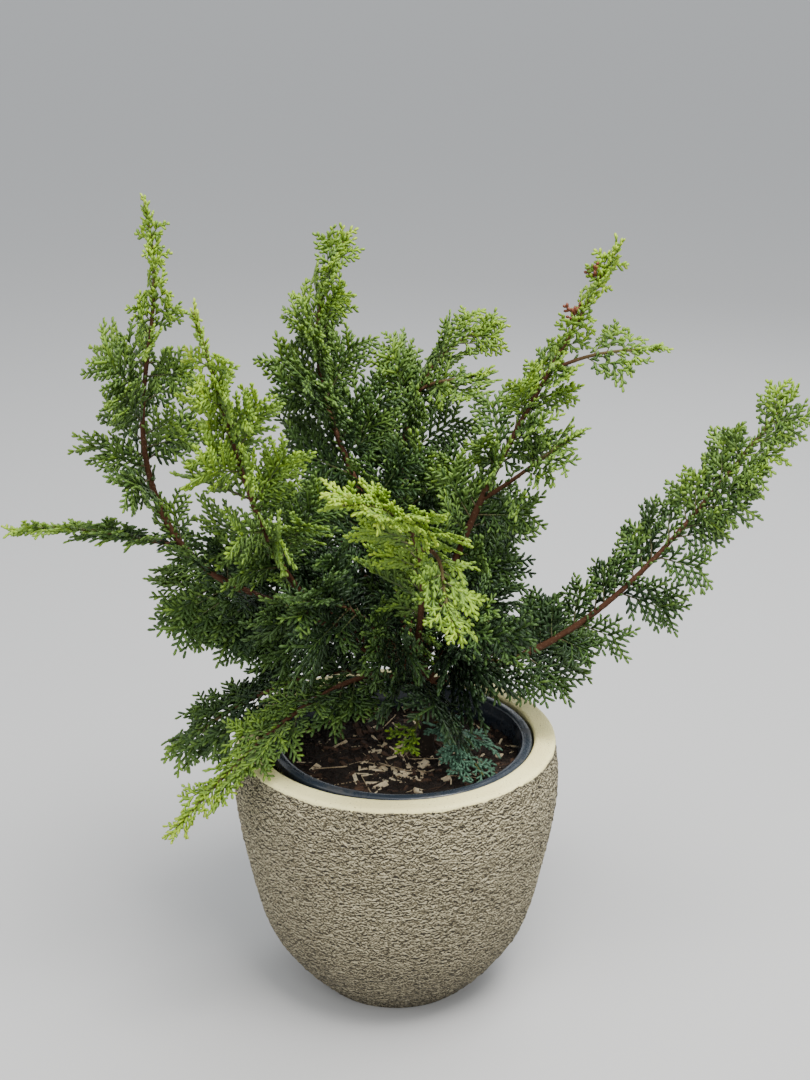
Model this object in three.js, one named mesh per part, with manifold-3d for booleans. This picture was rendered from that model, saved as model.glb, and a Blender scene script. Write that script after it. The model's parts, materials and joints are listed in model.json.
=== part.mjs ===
// A dwarf conifer with flat, shell-like sprays of scale leaves. It grows in a black nursery pot
// that stands inside a round planter with a gritty wall and a smooth pale lip.
// Millimetres, +Z up, +X to the right and -Y towards the viewer. The origin is at the middle of
// the planter's flat underside.
import * as THREE from 'three';
import { mergeVertices } from 'three/addons/utils/BufferGeometryUtils.js';
import Module from 'manifold-3d';

const wasm = await Module();
wasm.setup();

// Sizes of the planter, the nursery pot and the compost
const GAP = 0.3;
const ROUND_SEGMENTS = 40;
const PLANTER = {
  height: 253,
  footRadius: 77,
  footEdge: 4,
  heel: { radius: 105, height: 32 },
  haunch: { radius: 131, height: 80 },
  belly: { radius: 152.5, height: 190 },
  rimRadius: 149,
  lipWidth: 19,
  lipRound: 3,
  floor: 26,
  wellRadius: 88,
  wellSwell: 1,
  wallSteps: 8,
  wellSteps: 5,
};
const NURSERY_POT = {
  centre: { x: 5, y: -3 },
  rimRadius: 123.5,
  rimHeight: 11,
  rimLip: 10,
  top: 252,
  shoulderRadius: 117,
  baseRadius: 82,
  wall: 2,
};
const COMPOST = { top: 230, edgeTop: 226, flatRadius: 72 };

// Sizes of the trunk
const TRUNK = {
  foot: [25, 5],
  head: [10, -6, 322],
  leavesGround: { heading: 20, lift: 74 },
  meetsFork: { heading: 195, lift: 40 },
  flareRadius: 13,
  footRadius: 7.5,
  headRadius: 5.2,
  flareHeight: 22,
  sides: 10,
  rings: 8,
};

// How limbs are drawn: the length of a curve's handles as a share of its chord, and the facets
const HANDLE = 0.4;
const LIMB_SIDES = 6;
const STEM_SIDES = 4;
const RING_SPACING = 45;

// Each bough leaves its parent at a share of the parent's length and runs to its tip in
// millimetres. It leaves and arrives at a heading, in degrees from +X towards +Y, and a lift above
// the horizontal. radius is its half thickness at foot and tip, and bare is the share of its length
// before the foliage starts, whose sprays have the lengths in spread at the start, the middle and
// the tip. The sprays stay short over the share slender of the foliage. round foliage turns about
// its stem and flat foliage lies in one plane.
const ROUND = 'round';
const FLAT = 'flat';
const BOUGHS = [
  { name: 'left_bough', parent: 'trunk', at: 1, tip: [-209, -25, 489], leaves: [-141, 50],
    arrives: [172, 73], radius: [4.6, 2.8], bare: 0.5, spread: [44, 44, 38], layout: ROUND },
  { name: 'left_leader', parent: 'left_bough', at: 1, tip: [-204, -45, 752], leaves: [196, 73],
    arrives: [180, 79], radius: [2.8, 1], bare: 0.02, spread: [46, 54, 18], slender: 0.34,
    layout: ROUND, droop: 0.1 },
  { name: 'left_shoot', parent: 'left_bough', at: 0.85, tip: [-338, -40, 467],
    leaves: [-172, 10], arrives: [-172, -8], radius: [2, 1], bare: 0.1, spread: [40, 26, 16],
    layout: FLAT, roll: 20 },
  { name: 'left_low_bough', parent: 'trunk', at: 0.9, tip: [-216, -6, 406], leaves: [176, 48],
    arrives: [180, 4], radius: [3.6, 1], bare: 0.14, spread: [72, 62, 34], layout: FLAT,
    roll: -42, droop: 0.2 },
  { name: 'front_left_bough', parent: 'trunk', at: 0.86, tip: [-157, -130, 680],
    leaves: [-168, 29], arrives: [-135, 71], radius: [4, 1], bare: 0.2, spread: [64, 56, 18],
    slender: 0.1, layout: ROUND },
  { name: 'centre_bough', parent: 'trunk', at: 0.97, tip: [-42, 50, 714], leaves: [110, 86],
    arrives: [22, 56], radius: [4.4, 1], bare: 0.16, spread: [60, 60, 20], slender: 0.06,
    layout: ROUND },
  { name: 'back_bough', parent: 'trunk', at: 0.93, tip: [95, 110, 622], leaves: [96, 80],
    arrives: [4, 18], radius: [4, 1], bare: 0.16, spread: [68, 52, 22], layout: ROUND },
  { name: 'back_fork', parent: 'back_bough', at: 0.72, tip: [84, 64, 586], leaves: [-40, 40],
    arrives: [-20, 26], radius: [1.8, 1], bare: 0.1, spread: [40, 34, 20], layout: FLAT,
    roll: 30 },
  { name: 'right_bough', parent: 'trunk', at: 0.84, tip: [187, -30, 717], leaves: [0, 77],
    arrives: [-10, 64], radius: [4.4, 1], bare: 0.14, spread: [46, 48, 19], slender: 0.26,
    layout: ROUND },
  { name: 'right_fork', parent: 'right_bough', at: 0.72, tip: [228, -25, 628],
    leaves: [-7, 29], arrives: [-6, 4], radius: [1.8, 1], bare: 0.1, spread: [25, 23, 14],
    layout: FLAT, roll: 50 },
  { name: 'right_spur', parent: 'right_bough', at: 0.42, tip: [159, -52, 562],
    leaves: [-30, 35], arrives: [-24, 36], radius: [2.2, 1], bare: 0.15, spread: [36, 30, 18],
    layout: FLAT, roll: 40 },
  { name: 'far_right_bough', parent: 'trunk', at: 0.76, tip: [344, -30, 591], leaves: [0, 10],
    arrives: [-2, 53], radius: [4, 1], bare: 0.14, spread: [44, 40, 26], layout: FLAT, roll: 56 },
  { name: 'front_bough', parent: 'trunk', at: 0.9, tip: [-37, -256, 564], leaves: [-90, 40],
    arrives: [-128, 12], radius: [3.4, 1], bare: 0.12, spread: [56, 46, 24], layout: FLAT,
    roll: -25 },
  { name: 'front_fork', parent: 'front_bough', at: 0.62, tip: [50, -236, 452],
    leaves: [-40, 20], arrives: [-50, -38], radius: [1.8, 1], bare: 0.12, spread: [34, 32, 20],
    layout: FLAT },
  { name: 'low_front_bough', parent: 'trunk', at: 0.55, tip: [-199, -115, 209],
    leaves: [-153, 58], arrives: [-154, -44], radius: [3, 1], bare: 0.12, spread: [54, 34, 16],
    layout: FLAT },
  { name: 'low_left_bough', parent: 'trunk', at: 0.6, tip: [-216, 20, 226], leaves: [174, 34],
    arrives: [176, -36], radius: [3, 1], bare: 0.2, spread: [46, 44, 24], layout: FLAT,
    roll: -32, droop: 0.1 },
  { name: 'left_skirt_bough', parent: 'trunk', at: 0.75, tip: [-200, 8, 360],
    leaves: [178, 49], arrives: [178, -12], radius: [3.2, 1], bare: 0.15, spread: [52, 40, 22],
    layout: FLAT, roll: -42, droop: 0.2 },
  { name: 'heart_left_bough', parent: 'trunk', at: 0.8, tip: [-92, -104, 424],
    leaves: [-140, 52], arrives: [-138, 4], radius: [3, 1], bare: 0.16, spread: [74, 68, 36],
    layout: ROUND },
  { name: 'heart_right_bough', parent: 'trunk', at: 0.7, tip: [80, -100, 408],
    leaves: [-62, 52], arrives: [-50, 6], radius: [3, 1], bare: 0.16, spread: [74, 66, 34],
    layout: ROUND },
  { name: 'heart_front_bough', parent: 'trunk', at: 0.6, tip: [-18, -104, 394],
    leaves: [-100, 36], arrives: [-105, 10], radius: [2.8, 1], bare: 0.16, spread: [76, 70, 36],
    layout: ROUND, droop: 0.1 },
  { name: 'low_right_bough', parent: 'trunk', at: 0.64, tip: [112, -42, 340],
    leaves: [-12, 36], arrives: [-20, -14], radius: [2.8, 1], bare: 0.2, spread: [42, 34, 20],
    layout: FLAT, roll: 30, droop: 0.1 },
  { name: 'rear_left_bough', parent: 'trunk', at: 0.95, tip: [-105, 150, 446],
    leaves: [138, 56], arrives: [140, 24], radius: [3.6, 1], bare: 0.25, spread: [80, 70, 34],
    layout: FLAT },
  { name: 'rear_right_bough', parent: 'trunk', at: 0.8, tip: [72, 200, 430],
    leaves: [58, 56], arrives: [66, 24], radius: [3.6, 1], bare: 0.25, spread: [72, 66, 34],
    layout: FLAT },
  { name: 'rear_low_bough', parent: 'trunk', at: 0.66, tip: [8, 218, 336], leaves: [92, 46],
    arrives: [92, -14], radius: [3.2, 1], bare: 0.25, spread: [72, 68, 34], layout: FLAT,
    droop: 0.15 },
  { name: 'rear_low_left_bough', parent: 'trunk', at: 0.56, tip: [-158, 128, 306],
    leaves: [146, 44], arrives: [150, -20], radius: [3, 1], bare: 0.25, spread: [68, 66, 34],
    layout: FLAT, droop: 0.15 },
  { name: 'rear_low_right_bough', parent: 'trunk', at: 0.58, tip: [176, 96, 316],
    leaves: [26, 42], arrives: [24, -20], radius: [3, 1], bare: 0.25, spread: [68, 64, 34],
    layout: FLAT, droop: 0.15 },
];

// Small sprigs that spring low on the trunk, whose stems meet it directly
const SPRIGS = [
  { name: 'front_sprig', parent: 'trunk', at: 0.5, tip: [12, -48, 257], leaves: [-110, 12],
    arrives: [-110, -50], radius: [1.4, 1], bare: 0, spread: [22, 24, 14], layout: FLAT },
  { name: 'right_sprig', parent: 'trunk', at: 0.3, tip: [80, -62, 240], leaves: [-40, 30],
    arrives: [-55, -22], radius: [1.5, 1], bare: 0, spread: [26, 34, 18], layout: FLAT },
];

// The rule that sets the sprays of leaves along a stem
const SPRAY = {
  step: 6,
  coarse: 5,
  openAtFoot: 66,
  openAtTip: 34,
  openWobble: 9,
  flatWobble: 20,
  roundTurn: 163,
  roundWobble: 25,
  twist: 30,
  lengthWobble: 0.22,
  widthShare: 0.68,
  thickness: 2,
  rootWidth: 3.4,
  midSpray: 33,
  longSpray: 66,
  clearance: 0.4,
  probe: 6,
  shorter: [1, 0.8, 0.6],
  shortest: 10,
  tipReach: 1.1,
  leading: 24,
  limbClearance: 2,
};

// The teeth on each side of a spray, as shares of the length of one tooth or of the half width
const TOOTH = { stagger: 0.25, notchBack: 0.3, pointForward: 0.34, notchDepth: 0.34, wobble: 0.2 };
const SWELL = { start: 0.14, rise: 0.66 };

// The part of a spray that each repeatable chance is drawn for
const DRAW = { open: 1, turn: 2, twist: 3, length: 4, teeth: 5 };

// Colours and finishes
const MATERIALS = {
  planter: { color: 0x9a8e70, roughness: 0.95, metalness: 0 },
  nursery_pot: { color: 0x14181c, roughness: 0.35, metalness: 0 },
  compost: { color: 0x33241b, roughness: 1, metalness: 0 },
  bark: { color: 0x7a4b32, roughness: 0.85, metalness: 0 },
  foliage: { color: 0x3f6b2e, roughness: 0.7, metalness: 0 },
};

// Directions and repeatable chances
const UP = new THREE.Vector3(0, 0, 1);

const radians = THREE.MathUtils.degToRad;

const direction = (heading, lift) => new THREE.Vector3(
  Math.cos(radians(lift)) * Math.cos(radians(heading)),
  Math.cos(radians(lift)) * Math.sin(radians(heading)),
  Math.sin(radians(lift)),
);

// A repeatable number from 0 to 1 for three whole numbers, by mixing their bits
const PRIMES = [374761393, 668265263, 961748941, 1274126177, 224682251];
const WORD = 2 ** 32;

function chance(a, b, c) {
  const mixed = [a, b, c].reduce((bits, value, i) => bits ^ Math.imul(value + 1, PRIMES[i]), 0);
  const stirred = Math.imul(mixed ^ (mixed >>> 13), PRIMES[3]);
  const folded = Math.imul(stirred ^ (stirred >>> 15), PRIMES[4]);
  return ((folded ^ (folded >>> 16)) >>> 0) / WORD;
}

const wobble = (a, b, c) => 2 * chance(a, b, c) - 1;

// The value at a share of the way through three values set at the start, past the middle and at
// the end. The last value holds over the share slender of the way.
const MIDDLE = 0.55;

function throughThree([start, middle, end], share, slender = 0) {
  const gone = share / (1 - slender);
  const early = THREE.MathUtils.lerp(start, middle, gone / MIDDLE);
  const late = THREE.MathUtils.lerp(middle, end, Math.min(1, (gone - MIDDLE) / (1 - MIDDLE)));
  return gone < MIDDLE ? early : late;
}

// Closed geometries as solids, with corners closer than the weld made one, and back
const WELD = 1e-4;

function toSolid(geometry) {
  const bare = geometry.clone();
  for (const name of Object.keys(bare.attributes)) {
    if (name !== 'position') bare.deleteAttribute(name);
  }
  const merged = mergeVertices(bare, WELD);
  return new wasm.Manifold(new wasm.Mesh({
    numProp: 3,
    vertProperties: new Float32Array(merged.attributes.position.array),
    triVerts: new Uint32Array(merged.index.array),
  }));
}

// The largest piece of a solid: loose scraps are dropped and sealed hollows are filled
function largestPiece(solid) {
  const pieces = solid.decompose();
  return pieces.reduce((best, piece) => (piece.volume() > best.volume() ? piece : best));
}

function toMesh(name, solid, finish) {
  const { vertProperties, triVerts } = solid.getMesh();
  const geometry = new THREE.BufferGeometry();
  geometry.setAttribute('position', new THREE.BufferAttribute(vertProperties, 3));
  geometry.setIndex(new THREE.BufferAttribute(triVerts, 1));
  const faceted = geometry.toNonIndexed();
  faceted.computeVertexNormals();
  const mesh = new THREE.Mesh(faceted, new THREE.MeshStandardMaterial(MATERIALS[finish]));
  mesh.name = name;
  return mesh;
}

// Turned pieces: a profile of radius and height, from the axis back to the axis
function turned(profile) {
  const geometry = new THREE.LatheGeometry(profile, ROUND_SEGMENTS);
  geometry.rotateX(Math.PI / 2);
  return toSolid(geometry);
}

const at = (radius, height) => new THREE.Vector2(radius, height);

function planterSolid() {
  const { height, footRadius, footEdge, heel, haunch, belly } = PLANTER;
  const { rimRadius, lipWidth, lipRound, wellSwell } = PLANTER;
  const outside = new THREE.SplineCurve([
    at(footRadius + footEdge, footEdge),
    at(heel.radius, heel.height),
    at(haunch.radius, haunch.height),
    at(belly.radius, belly.height),
    at(rimRadius + lipRound / 2, height - lipRound),
  ]).getPoints(PLANTER.wallSteps);
  const mouth = rimRadius - lipWidth;
  const inside = new THREE.SplineCurve([
    at(mouth, height - lipRound),
    at(mouth + wellSwell, belly.height),
    at(PLANTER.wellRadius, PLANTER.floor),
  ]).getPoints(PLANTER.wellSteps);
  return turned([
    at(0, 0),
    at(footRadius, 0),
    ...outside,
    at(rimRadius - lipRound, height),
    at(mouth + lipRound, height),
    ...inside,
    at(0, PLANTER.floor),
  ]);
}

// The nursery pot's outer and inner half widths at a height
function nurseryPotRadius(height) {
  const foot = PLANTER.floor + GAP;
  const share = (height - foot) / (NURSERY_POT.top - NURSERY_POT.rimHeight - foot);
  return THREE.MathUtils.lerp(NURSERY_POT.baseRadius, NURSERY_POT.shoulderRadius, share);
}

function nurseryPotSolid() {
  const { rimRadius, rimHeight, rimLip, top, shoulderRadius, baseRadius, wall } = NURSERY_POT;
  const foot = PLANTER.floor + GAP;
  const shoulder = top - rimHeight;
  const edge = wall / 2;
  const solid = turned([
    at(0, foot),
    at(baseRadius, foot),
    at(shoulderRadius, shoulder),
    at(rimRadius, shoulder + edge),
    at(rimRadius, top - edge),
    at(rimRadius - edge, top),
    at(rimRadius - rimLip, top),
    at(shoulderRadius - wall, shoulder),
    at(baseRadius - wall, foot + wall),
    at(0, foot + wall),
  ]);
  return solid.translate([NURSERY_POT.centre.x, NURSERY_POT.centre.y, 0]);
}

function compostSolid() {
  const foot = PLANTER.floor + GAP + NURSERY_POT.wall + GAP;
  const within = (height) => nurseryPotRadius(height) - NURSERY_POT.wall - 2 * GAP;
  const solid = turned([
    at(0, foot),
    at(within(foot), foot),
    at(within(COMPOST.edgeTop), COMPOST.edgeTop),
    at(COMPOST.flatRadius, COMPOST.top),
    at(0, COMPOST.top),
  ]);
  return solid.translate([NURSERY_POT.centre.x, NURSERY_POT.centre.y, 0]);
}

// Limbs: a curve with handles along the way it leaves and the way it arrives
function limbCurve(foot, tip, leaves, arrives) {
  const handle = HANDLE * foot.distanceTo(tip);
  return new THREE.CubicBezierCurve3(
    foot,
    foot.clone().addScaledVector(direction(...leaves), handle),
    tip.clone().addScaledVector(direction(...arrives), -handle),
    tip,
  );
}

// A limb's level crosswise direction at a share of its length, square to its run
function acrossAt(limb, share) {
  const along = limb.curve.getTangentAt(share);
  const level = new THREE.Vector3(-Math.sin(radians(limb.side)), Math.cos(radians(limb.side)), 0);
  const across = level.addScaledVector(along, -level.dot(along)).normalize();
  return { along, across, upper: new THREE.Vector3().crossVectors(along, across) };
}

// A tapering tube round part of a limb, from one share of its length to another. extra widens it.
function tube(limb, from, to, sides, extra = 0) {
  const rings = Math.max(2, Math.round((limb.curve.getLength() * (to - from)) / RING_SPACING));
  const turn = Math.PI / sides;
  const geometry = new THREE.CylinderGeometry(1, 1, 1, sides, limb.rings ?? rings, false, turn);
  const position = geometry.getAttribute('position');
  const point = new THREE.Vector3();
  for (let i = 0; i < position.count; i += 1) {
    point.fromBufferAttribute(position, i);
    const share = THREE.MathUtils.lerp(from, to, point.y + 0.5);
    const { across, upper } = acrossAt(limb, share);
    const half = limb.radiusAt(share) + extra;
    const { x, z } = point;
    point.copy(limb.curve.getPointAt(share)).addScaledVector(across, x * half);
    point.addScaledVector(upper, -z * half);
    position.setXYZ(i, point.x, point.y, point.z);
  }
  return toSolid(geometry);
}

// The block of ground that cuts the trunk's foot flat
const GROUND = { width: 200, depth: 40 };

// The trunk's half thickness at a share of its length, with the flare at its root
function trunkRadius(share) {
  const { flareRadius, footRadius, headRadius, flareHeight, head } = TRUNK;
  const risen = share * (head[2] - COMPOST.top);
  const flare = Math.max(0, 1 - risen / flareHeight);
  const taper = THREE.MathUtils.lerp(footRadius, headRadius, share);
  return taper + (flareRadius - footRadius) * flare * flare;
}

function trunkLimb() {
  const { leavesGround, meetsFork } = TRUNK;
  const foot = new THREE.Vector3(...TRUNK.foot, COMPOST.top + GAP);
  const head = new THREE.Vector3(...TRUNK.head);
  const leaves = [leavesGround.heading, leavesGround.lift];
  const arrives = [meetsFork.heading, meetsFork.lift];
  const curve = limbCurve(foot, head, leaves, arrives);
  return { name: 'trunk', curve, side: 0, radiusAt: trunkRadius, rings: TRUNK.rings };
}

// The trunk's solid, with its foot cut flat at the level of the compost
function trunkSolid(limb, extra = 0) {
  const whole = tube(limb, 0, 1, TRUNK.sides, extra);
  const ground = new THREE.BoxGeometry(GROUND.width, GROUND.width, GROUND.depth);
  ground.translate(0, 0, COMPOST.top + GAP - GROUND.depth / 2);
  return whole.subtract(toSolid(ground));
}

function boughLimb(size, parent) {
  const foot = parent.curve.getPointAt(size.at);
  const curve = limbCurve(foot, new THREE.Vector3(...size.tip), size.leaves, size.arrives);
  const [footRadius, tipRadius] = size.radius;
  const radiusAt = (share) => THREE.MathUtils.lerp(footRadius, tipRadius, share);
  return { ...size, curve, side: size.leaves[0], radiusAt };
}

const trunk = trunkLimb();
const limbs = new Map([['trunk', trunk]]);
for (const size of [...BOUGHS, ...SPRIGS]) {
  limbs.set(size.name, boughLimb(size, limbs.get(size.parent)));
}
const leafy = [...limbs.values()].filter((limb) => limb.spread);
const stemEnd = (limb) => 1 - SPRAY.leading / limb.curve.getLength();

// Points along each limb, for the tests of space below
const STEM_POINTS = 14;
for (const limb of limbs.values()) {
  limb.points = limb.curve.getSpacedPoints(STEM_POINTS);
}

function distanceTo(limb, point) {
  const nearest = { gap: Infinity, share: 0 };
  const segment = new THREE.Line3();
  const foot = new THREE.Vector3();
  for (let i = 0; i < STEM_POINTS; i += 1) {
    segment.set(limb.points[i], limb.points[i + 1]);
    const share = segment.closestPointToPointParameter(point, true);
    const gap = segment.at(share, foot).distanceTo(point);
    if (gap < nearest.gap) Object.assign(nearest, { gap, share: (i + share) / STEM_POINTS });
  }
  return nearest;
}

// A mass keeps to the space nearer to its own stem than to any other, weighed by their spreads
const widest = (limb) => Math.max(...limb.spread);

function inOwnSpace(limb, point) {
  const own = distanceTo(limb, point).gap / widest(limb);
  const others = leafy.filter((other) => other !== limb);
  return others.every((other) => distanceTo(other, point).gap / widest(other) >= own);
}

// Clear of the compost, the nursery pot and the planter
const POT_CLEARANCE = 4;
const MOUTH_RADIUS = 108;

function clearOfPot(point) {
  const out = Math.hypot(point.x, point.y);
  if (out > PLANTER.belly.radius + POT_CLEARANCE) return point.z > POT_CLEARANCE;
  return point.z > POT_CLEARANCE + (out > MOUTH_RADIUS ? PLANTER.height : COMPOST.top);
}

function clearOfLimbs(limb, point) {
  return [...limbs.values()].every((other) => {
    if (other === limb) return true;
    const { gap, share } = distanceTo(other, point);
    return gap > other.radiusAt(share) + SPRAY.limbClearance;
  });
}

// One spray of the rule: where it leaves the stem, the way it points and lies, and its length
function sprayAt(limb, index, share) {
  const seed = leafy.indexOf(limb);
  const { along, across, upper } = acrossAt(limb, share);
  const grown = (share - limb.bare) / (1 - limb.bare);
  const open = THREE.MathUtils.lerp(SPRAY.openAtFoot, SPRAY.openAtTip, grown)
    + SPRAY.openWobble * wobble(seed, index, DRAW.open);
  const turn = limb.layout === ROUND
    ? index * SPRAY.roundTurn + SPRAY.roundWobble * wobble(seed, index, DRAW.turn)
    : (index % 2) * 180 + (limb.roll ?? 0) + SPRAY.flatWobble * wobble(seed, index, DRAW.turn);
  const outward = across.clone().multiplyScalar(Math.cos(radians(turn)))
    .addScaledVector(upper, Math.sin(radians(turn)));
  const pointing = along.clone().multiplyScalar(Math.cos(radians(open)))
    .addScaledVector(outward, Math.sin(radians(open)));
  pointing.addScaledVector(UP, -(limb.droop ?? 0)).normalize();
  const facing = new THREE.Vector3().crossVectors(pointing, along).normalize();
  facing.applyAxisAngle(pointing, radians(SPRAY.twist * wobble(seed, index, DRAW.twist)));
  const uneven = 1 + SPRAY.lengthWobble * wobble(seed, index, DRAW.length);
  const wanted = throughThree(limb.spread, grown, limb.slender) * uneven;
  const length = Math.min(wanted, SPRAY.tipReach * (1 - share) * limb.curve.getLength());
  return { root: limb.curve.getPointAt(share), pointing, facing, length, seed, index };
}

// How far a spray can grow before it would leave its space, up to the length it wants
function freeLength(limb, spray) {
  const point = new THREE.Vector3();
  let reached = 2 * SPRAY.probe;
  while (reached < spray.length) {
    point.copy(spray.root).addScaledVector(spray.pointing, reached);
    if (!clearOfPot(point) || !clearOfLimbs(limb, point) || !inOwnSpace(limb, point)) {
      return reached - SPRAY.probe;
    }
    reached += SPRAY.probe;
  }
  return spray.length;
}

// The toothed outline of a spray, with its midrib along +X from the stem to its tip. The teeth of
// the two sides stand a little apart along it, as the twiglets of a real spray do.
function sprayOutline({ length, seed, index }) {
  const teeth = 1 + (length > SPRAY.midSpray) + (length > SPRAY.longSpray);
  const half = (SPRAY.widthShare * length) / 2;
  const root = SPRAY.rootWidth / 2;
  const pitch = length / (teeth + 2 * TOOTH.stagger);
  const edge = (side) => {
    const points = [];
    for (let tooth = 0; tooth < teeth; tooth += 1) {
      const along = (tooth + 0.5 + (side > 0 ? TOOTH.stagger : 0)) * pitch;
      const swell = Math.sin(Math.PI * Math.min(1, SWELL.start + (SWELL.rise * along) / length));
      const reach = half * swell * (1 + TOOTH.wobble * wobble(seed, index, DRAW.teeth + tooth + side));
      const notch = Math.max(root, TOOTH.notchDepth * half * swell);
      points.push(at(along - TOOTH.notchBack * pitch, side * notch));
      points.push(at(along + TOOTH.pointForward * pitch, side * reach));
    }
    return points;
  };
  const tip = at(length, 0);
  return new THREE.Shape([at(0, -root), ...edge(-1), tip, ...edge(1).reverse(), at(0, root)]);
}

// A blade of a spray, grown by the clearance when it is only used to test for touching
function bladeSolid(spray, clearance = 0) {
  const depth = SPRAY.thickness + 2 * clearance;
  const geometry = new THREE.ExtrudeGeometry(sprayOutline(spray), { depth, bevelEnabled: false });
  const stretch = 1 + (2 * clearance) / spray.length;
  geometry.translate(0, 0, -depth / 2);
  geometry.scale(stretch, stretch, 1);
  const wide = new THREE.Vector3().crossVectors(spray.facing, spray.pointing);
  const placed = new THREE.Matrix4().makeBasis(spray.pointing, wide, spray.facing);
  geometry.applyMatrix4(placed.setPosition(spray.root));
  return toSolid(geometry);
}

// Solids that are already in place, each with its owner, for the exact test of touching
const placed = [];

function place(owner, solid) {
  placed.push({ owner, solid, box: solid.boundingBox() });
}

function boxesMeet(a, b) {
  return [0, 1, 2].every((axis) => a.min[axis] < b.max[axis] && b.min[axis] < a.max[axis]);
}

function touchesOthers(owner, solid) {
  const box = solid.boundingBox();
  return placed.some((other) => other.owner !== owner && boxesMeet(box, other.box)
    && !solid.intersect(other.solid).isEmpty());
}

// The sprays along one stem that keep their space and touch nothing, shortened where they must be
function bladesOf(limb) {
  const start = limb.bare * limb.curve.getLength();
  const end = stemEnd(limb) * limb.curve.getLength();
  const blades = [];
  const tryBlade = (spray) => {
    const free = freeLength(limb, spray);
    for (const shorter of SPRAY.shorter) {
      const trial = { ...spray, length: free * shorter };
      if (trial.length < SPRAY.shortest) return;
      if (touchesOthers(limb.name, bladeSolid(trial, SPRAY.clearance))) continue;
      const blade = bladeSolid(trial);
      blades.push(blade);
      place(limb.name, blade);
      return;
    }
  };
  for (let index = 0; start + (index + 1) * SPRAY.step < end; index += SPRAY.coarse) {
    const share = (start + (index + 1) * SPRAY.step) / limb.curve.getLength();
    tryBlade(sprayAt(limb, index, share));
  }
  const leading = sprayAt(limb, 0, stemEnd(limb));
  leading.pointing = limb.curve.getTangentAt(stemEnd(limb));
  leading.facing = acrossAt(limb, stemEnd(limb)).upper;
  leading.length = SPRAY.leading;
  tryBlade(leading);
  return blades;
}

// Build the pieces in order. Each limb is cut clear of those that are already there.
const plant = new THREE.Group();

function addPiece(name, solid, finish) {
  plant.add(toMesh(name, solid, finish));
}

const pots = [
  ['planter', planterSolid()],
  ['nursery_pot', nurseryPotSolid()],
  ['compost', compostSolid()],
];
for (const [name, solid] of pots) {
  place(name, solid);
  addPiece(name, solid, name);
}

const trunkPiece = trunkSolid(trunk);
place('trunk', trunkPiece);
addPiece('trunk', trunkPiece, 'bark');

const grownLimbs = [trunkSolid(trunk, GAP)];

function cutClear(solid) {
  return largestPiece(grownLimbs.reduce((rest, other) => rest.subtract(other), solid));
}

const stems = new Map();
for (const limb of limbs.values()) {
  if (limb === trunk) continue;
  const bareEnd = limb.spread ? limb.bare : 1;
  const grown = [];
  if (bareEnd > 0) {
    const bough = cutClear(tube(limb, 0, bareEnd, LIMB_SIDES));
    place(limb.name, bough);
    addPiece(limb.name, bough, 'bark');
    grown.push(tube(limb, 0, bareEnd, LIMB_SIDES, GAP));
  }
  if (limb.spread) {
    const from = bareEnd > 0 ? bareEnd + GAP / limb.curve.getLength() : 0;
    stems.set(limb.name, cutClear(tube(limb, from, stemEnd(limb), STEM_SIDES)));
    grown.push(tube(limb, from, stemEnd(limb), STEM_SIDES, GAP));
  }
  grownLimbs.push(...grown);
}
for (const [name, stem] of stems) {
  place(name, stem);
}
for (const limb of leafy) {
  const mass = wasm.Manifold.union([stems.get(limb.name), ...bladesOf(limb)]);
  const isSprig = limb.name.endsWith('sprig');
  const name = isSprig ? limb.name : limb.name.replace('_bough', '') + '_foliage';
  addPiece(name, largestPiece(mass), 'foliage');
}

export default plant;
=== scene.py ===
"""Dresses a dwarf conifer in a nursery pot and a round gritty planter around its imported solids.

The boughs, stems and sprays follow the rule and the named sizes of the solids, apart from a few
sprays that are shorter here. Lengths of the plant's rule and of the finishes are in millimetres,
and everything handed to Blender is in metres.
"""

import json
import logging
import math
from dataclasses import dataclass, field
from enum import Enum
from typing import Any, ClassVar, Optional, Sequence

import bpy
import numpy as np
from mathutils import Euler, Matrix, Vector

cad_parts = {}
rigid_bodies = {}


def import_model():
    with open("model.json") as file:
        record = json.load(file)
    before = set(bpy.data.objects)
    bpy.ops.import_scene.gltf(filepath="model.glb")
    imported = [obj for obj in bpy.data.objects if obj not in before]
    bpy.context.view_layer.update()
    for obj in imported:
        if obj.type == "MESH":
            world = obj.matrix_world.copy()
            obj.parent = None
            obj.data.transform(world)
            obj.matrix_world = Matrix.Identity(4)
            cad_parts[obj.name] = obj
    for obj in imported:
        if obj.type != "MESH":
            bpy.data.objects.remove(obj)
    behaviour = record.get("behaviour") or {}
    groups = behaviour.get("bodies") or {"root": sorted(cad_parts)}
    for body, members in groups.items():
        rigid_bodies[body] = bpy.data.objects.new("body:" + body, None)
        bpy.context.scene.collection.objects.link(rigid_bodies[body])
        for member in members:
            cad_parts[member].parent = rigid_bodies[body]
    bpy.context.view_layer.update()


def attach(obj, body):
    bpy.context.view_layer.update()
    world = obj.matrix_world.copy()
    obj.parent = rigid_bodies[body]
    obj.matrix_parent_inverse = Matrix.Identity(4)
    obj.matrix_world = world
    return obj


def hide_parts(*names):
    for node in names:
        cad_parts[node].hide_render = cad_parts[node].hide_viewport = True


log = logging.getLogger("conifer")

MM = 0.001
BODY = "root"
UP = np.array([0.0, 0.0, 1.0])
Triple = tuple[float, float, float]
Pair = tuple[float, float]


class Layout(Enum):
    """How the sprays stand round their stem."""

    ROUND = "round"
    FLAT = "flat"


class Tone(Enum):
    """The plain colours of the leaves, from the dark heart of the plant to its freshest tips; the
    dark tones are painted shade, the bright ones paler young growth with painted light.
    """

    HEART = 0
    SHADE = 1
    DEEP = 2
    MIDDLE = 3
    FRESH = 4
    BRIGHT = 5
    TIP = 6
    BLUE = 7
    DEAD = 8


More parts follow.
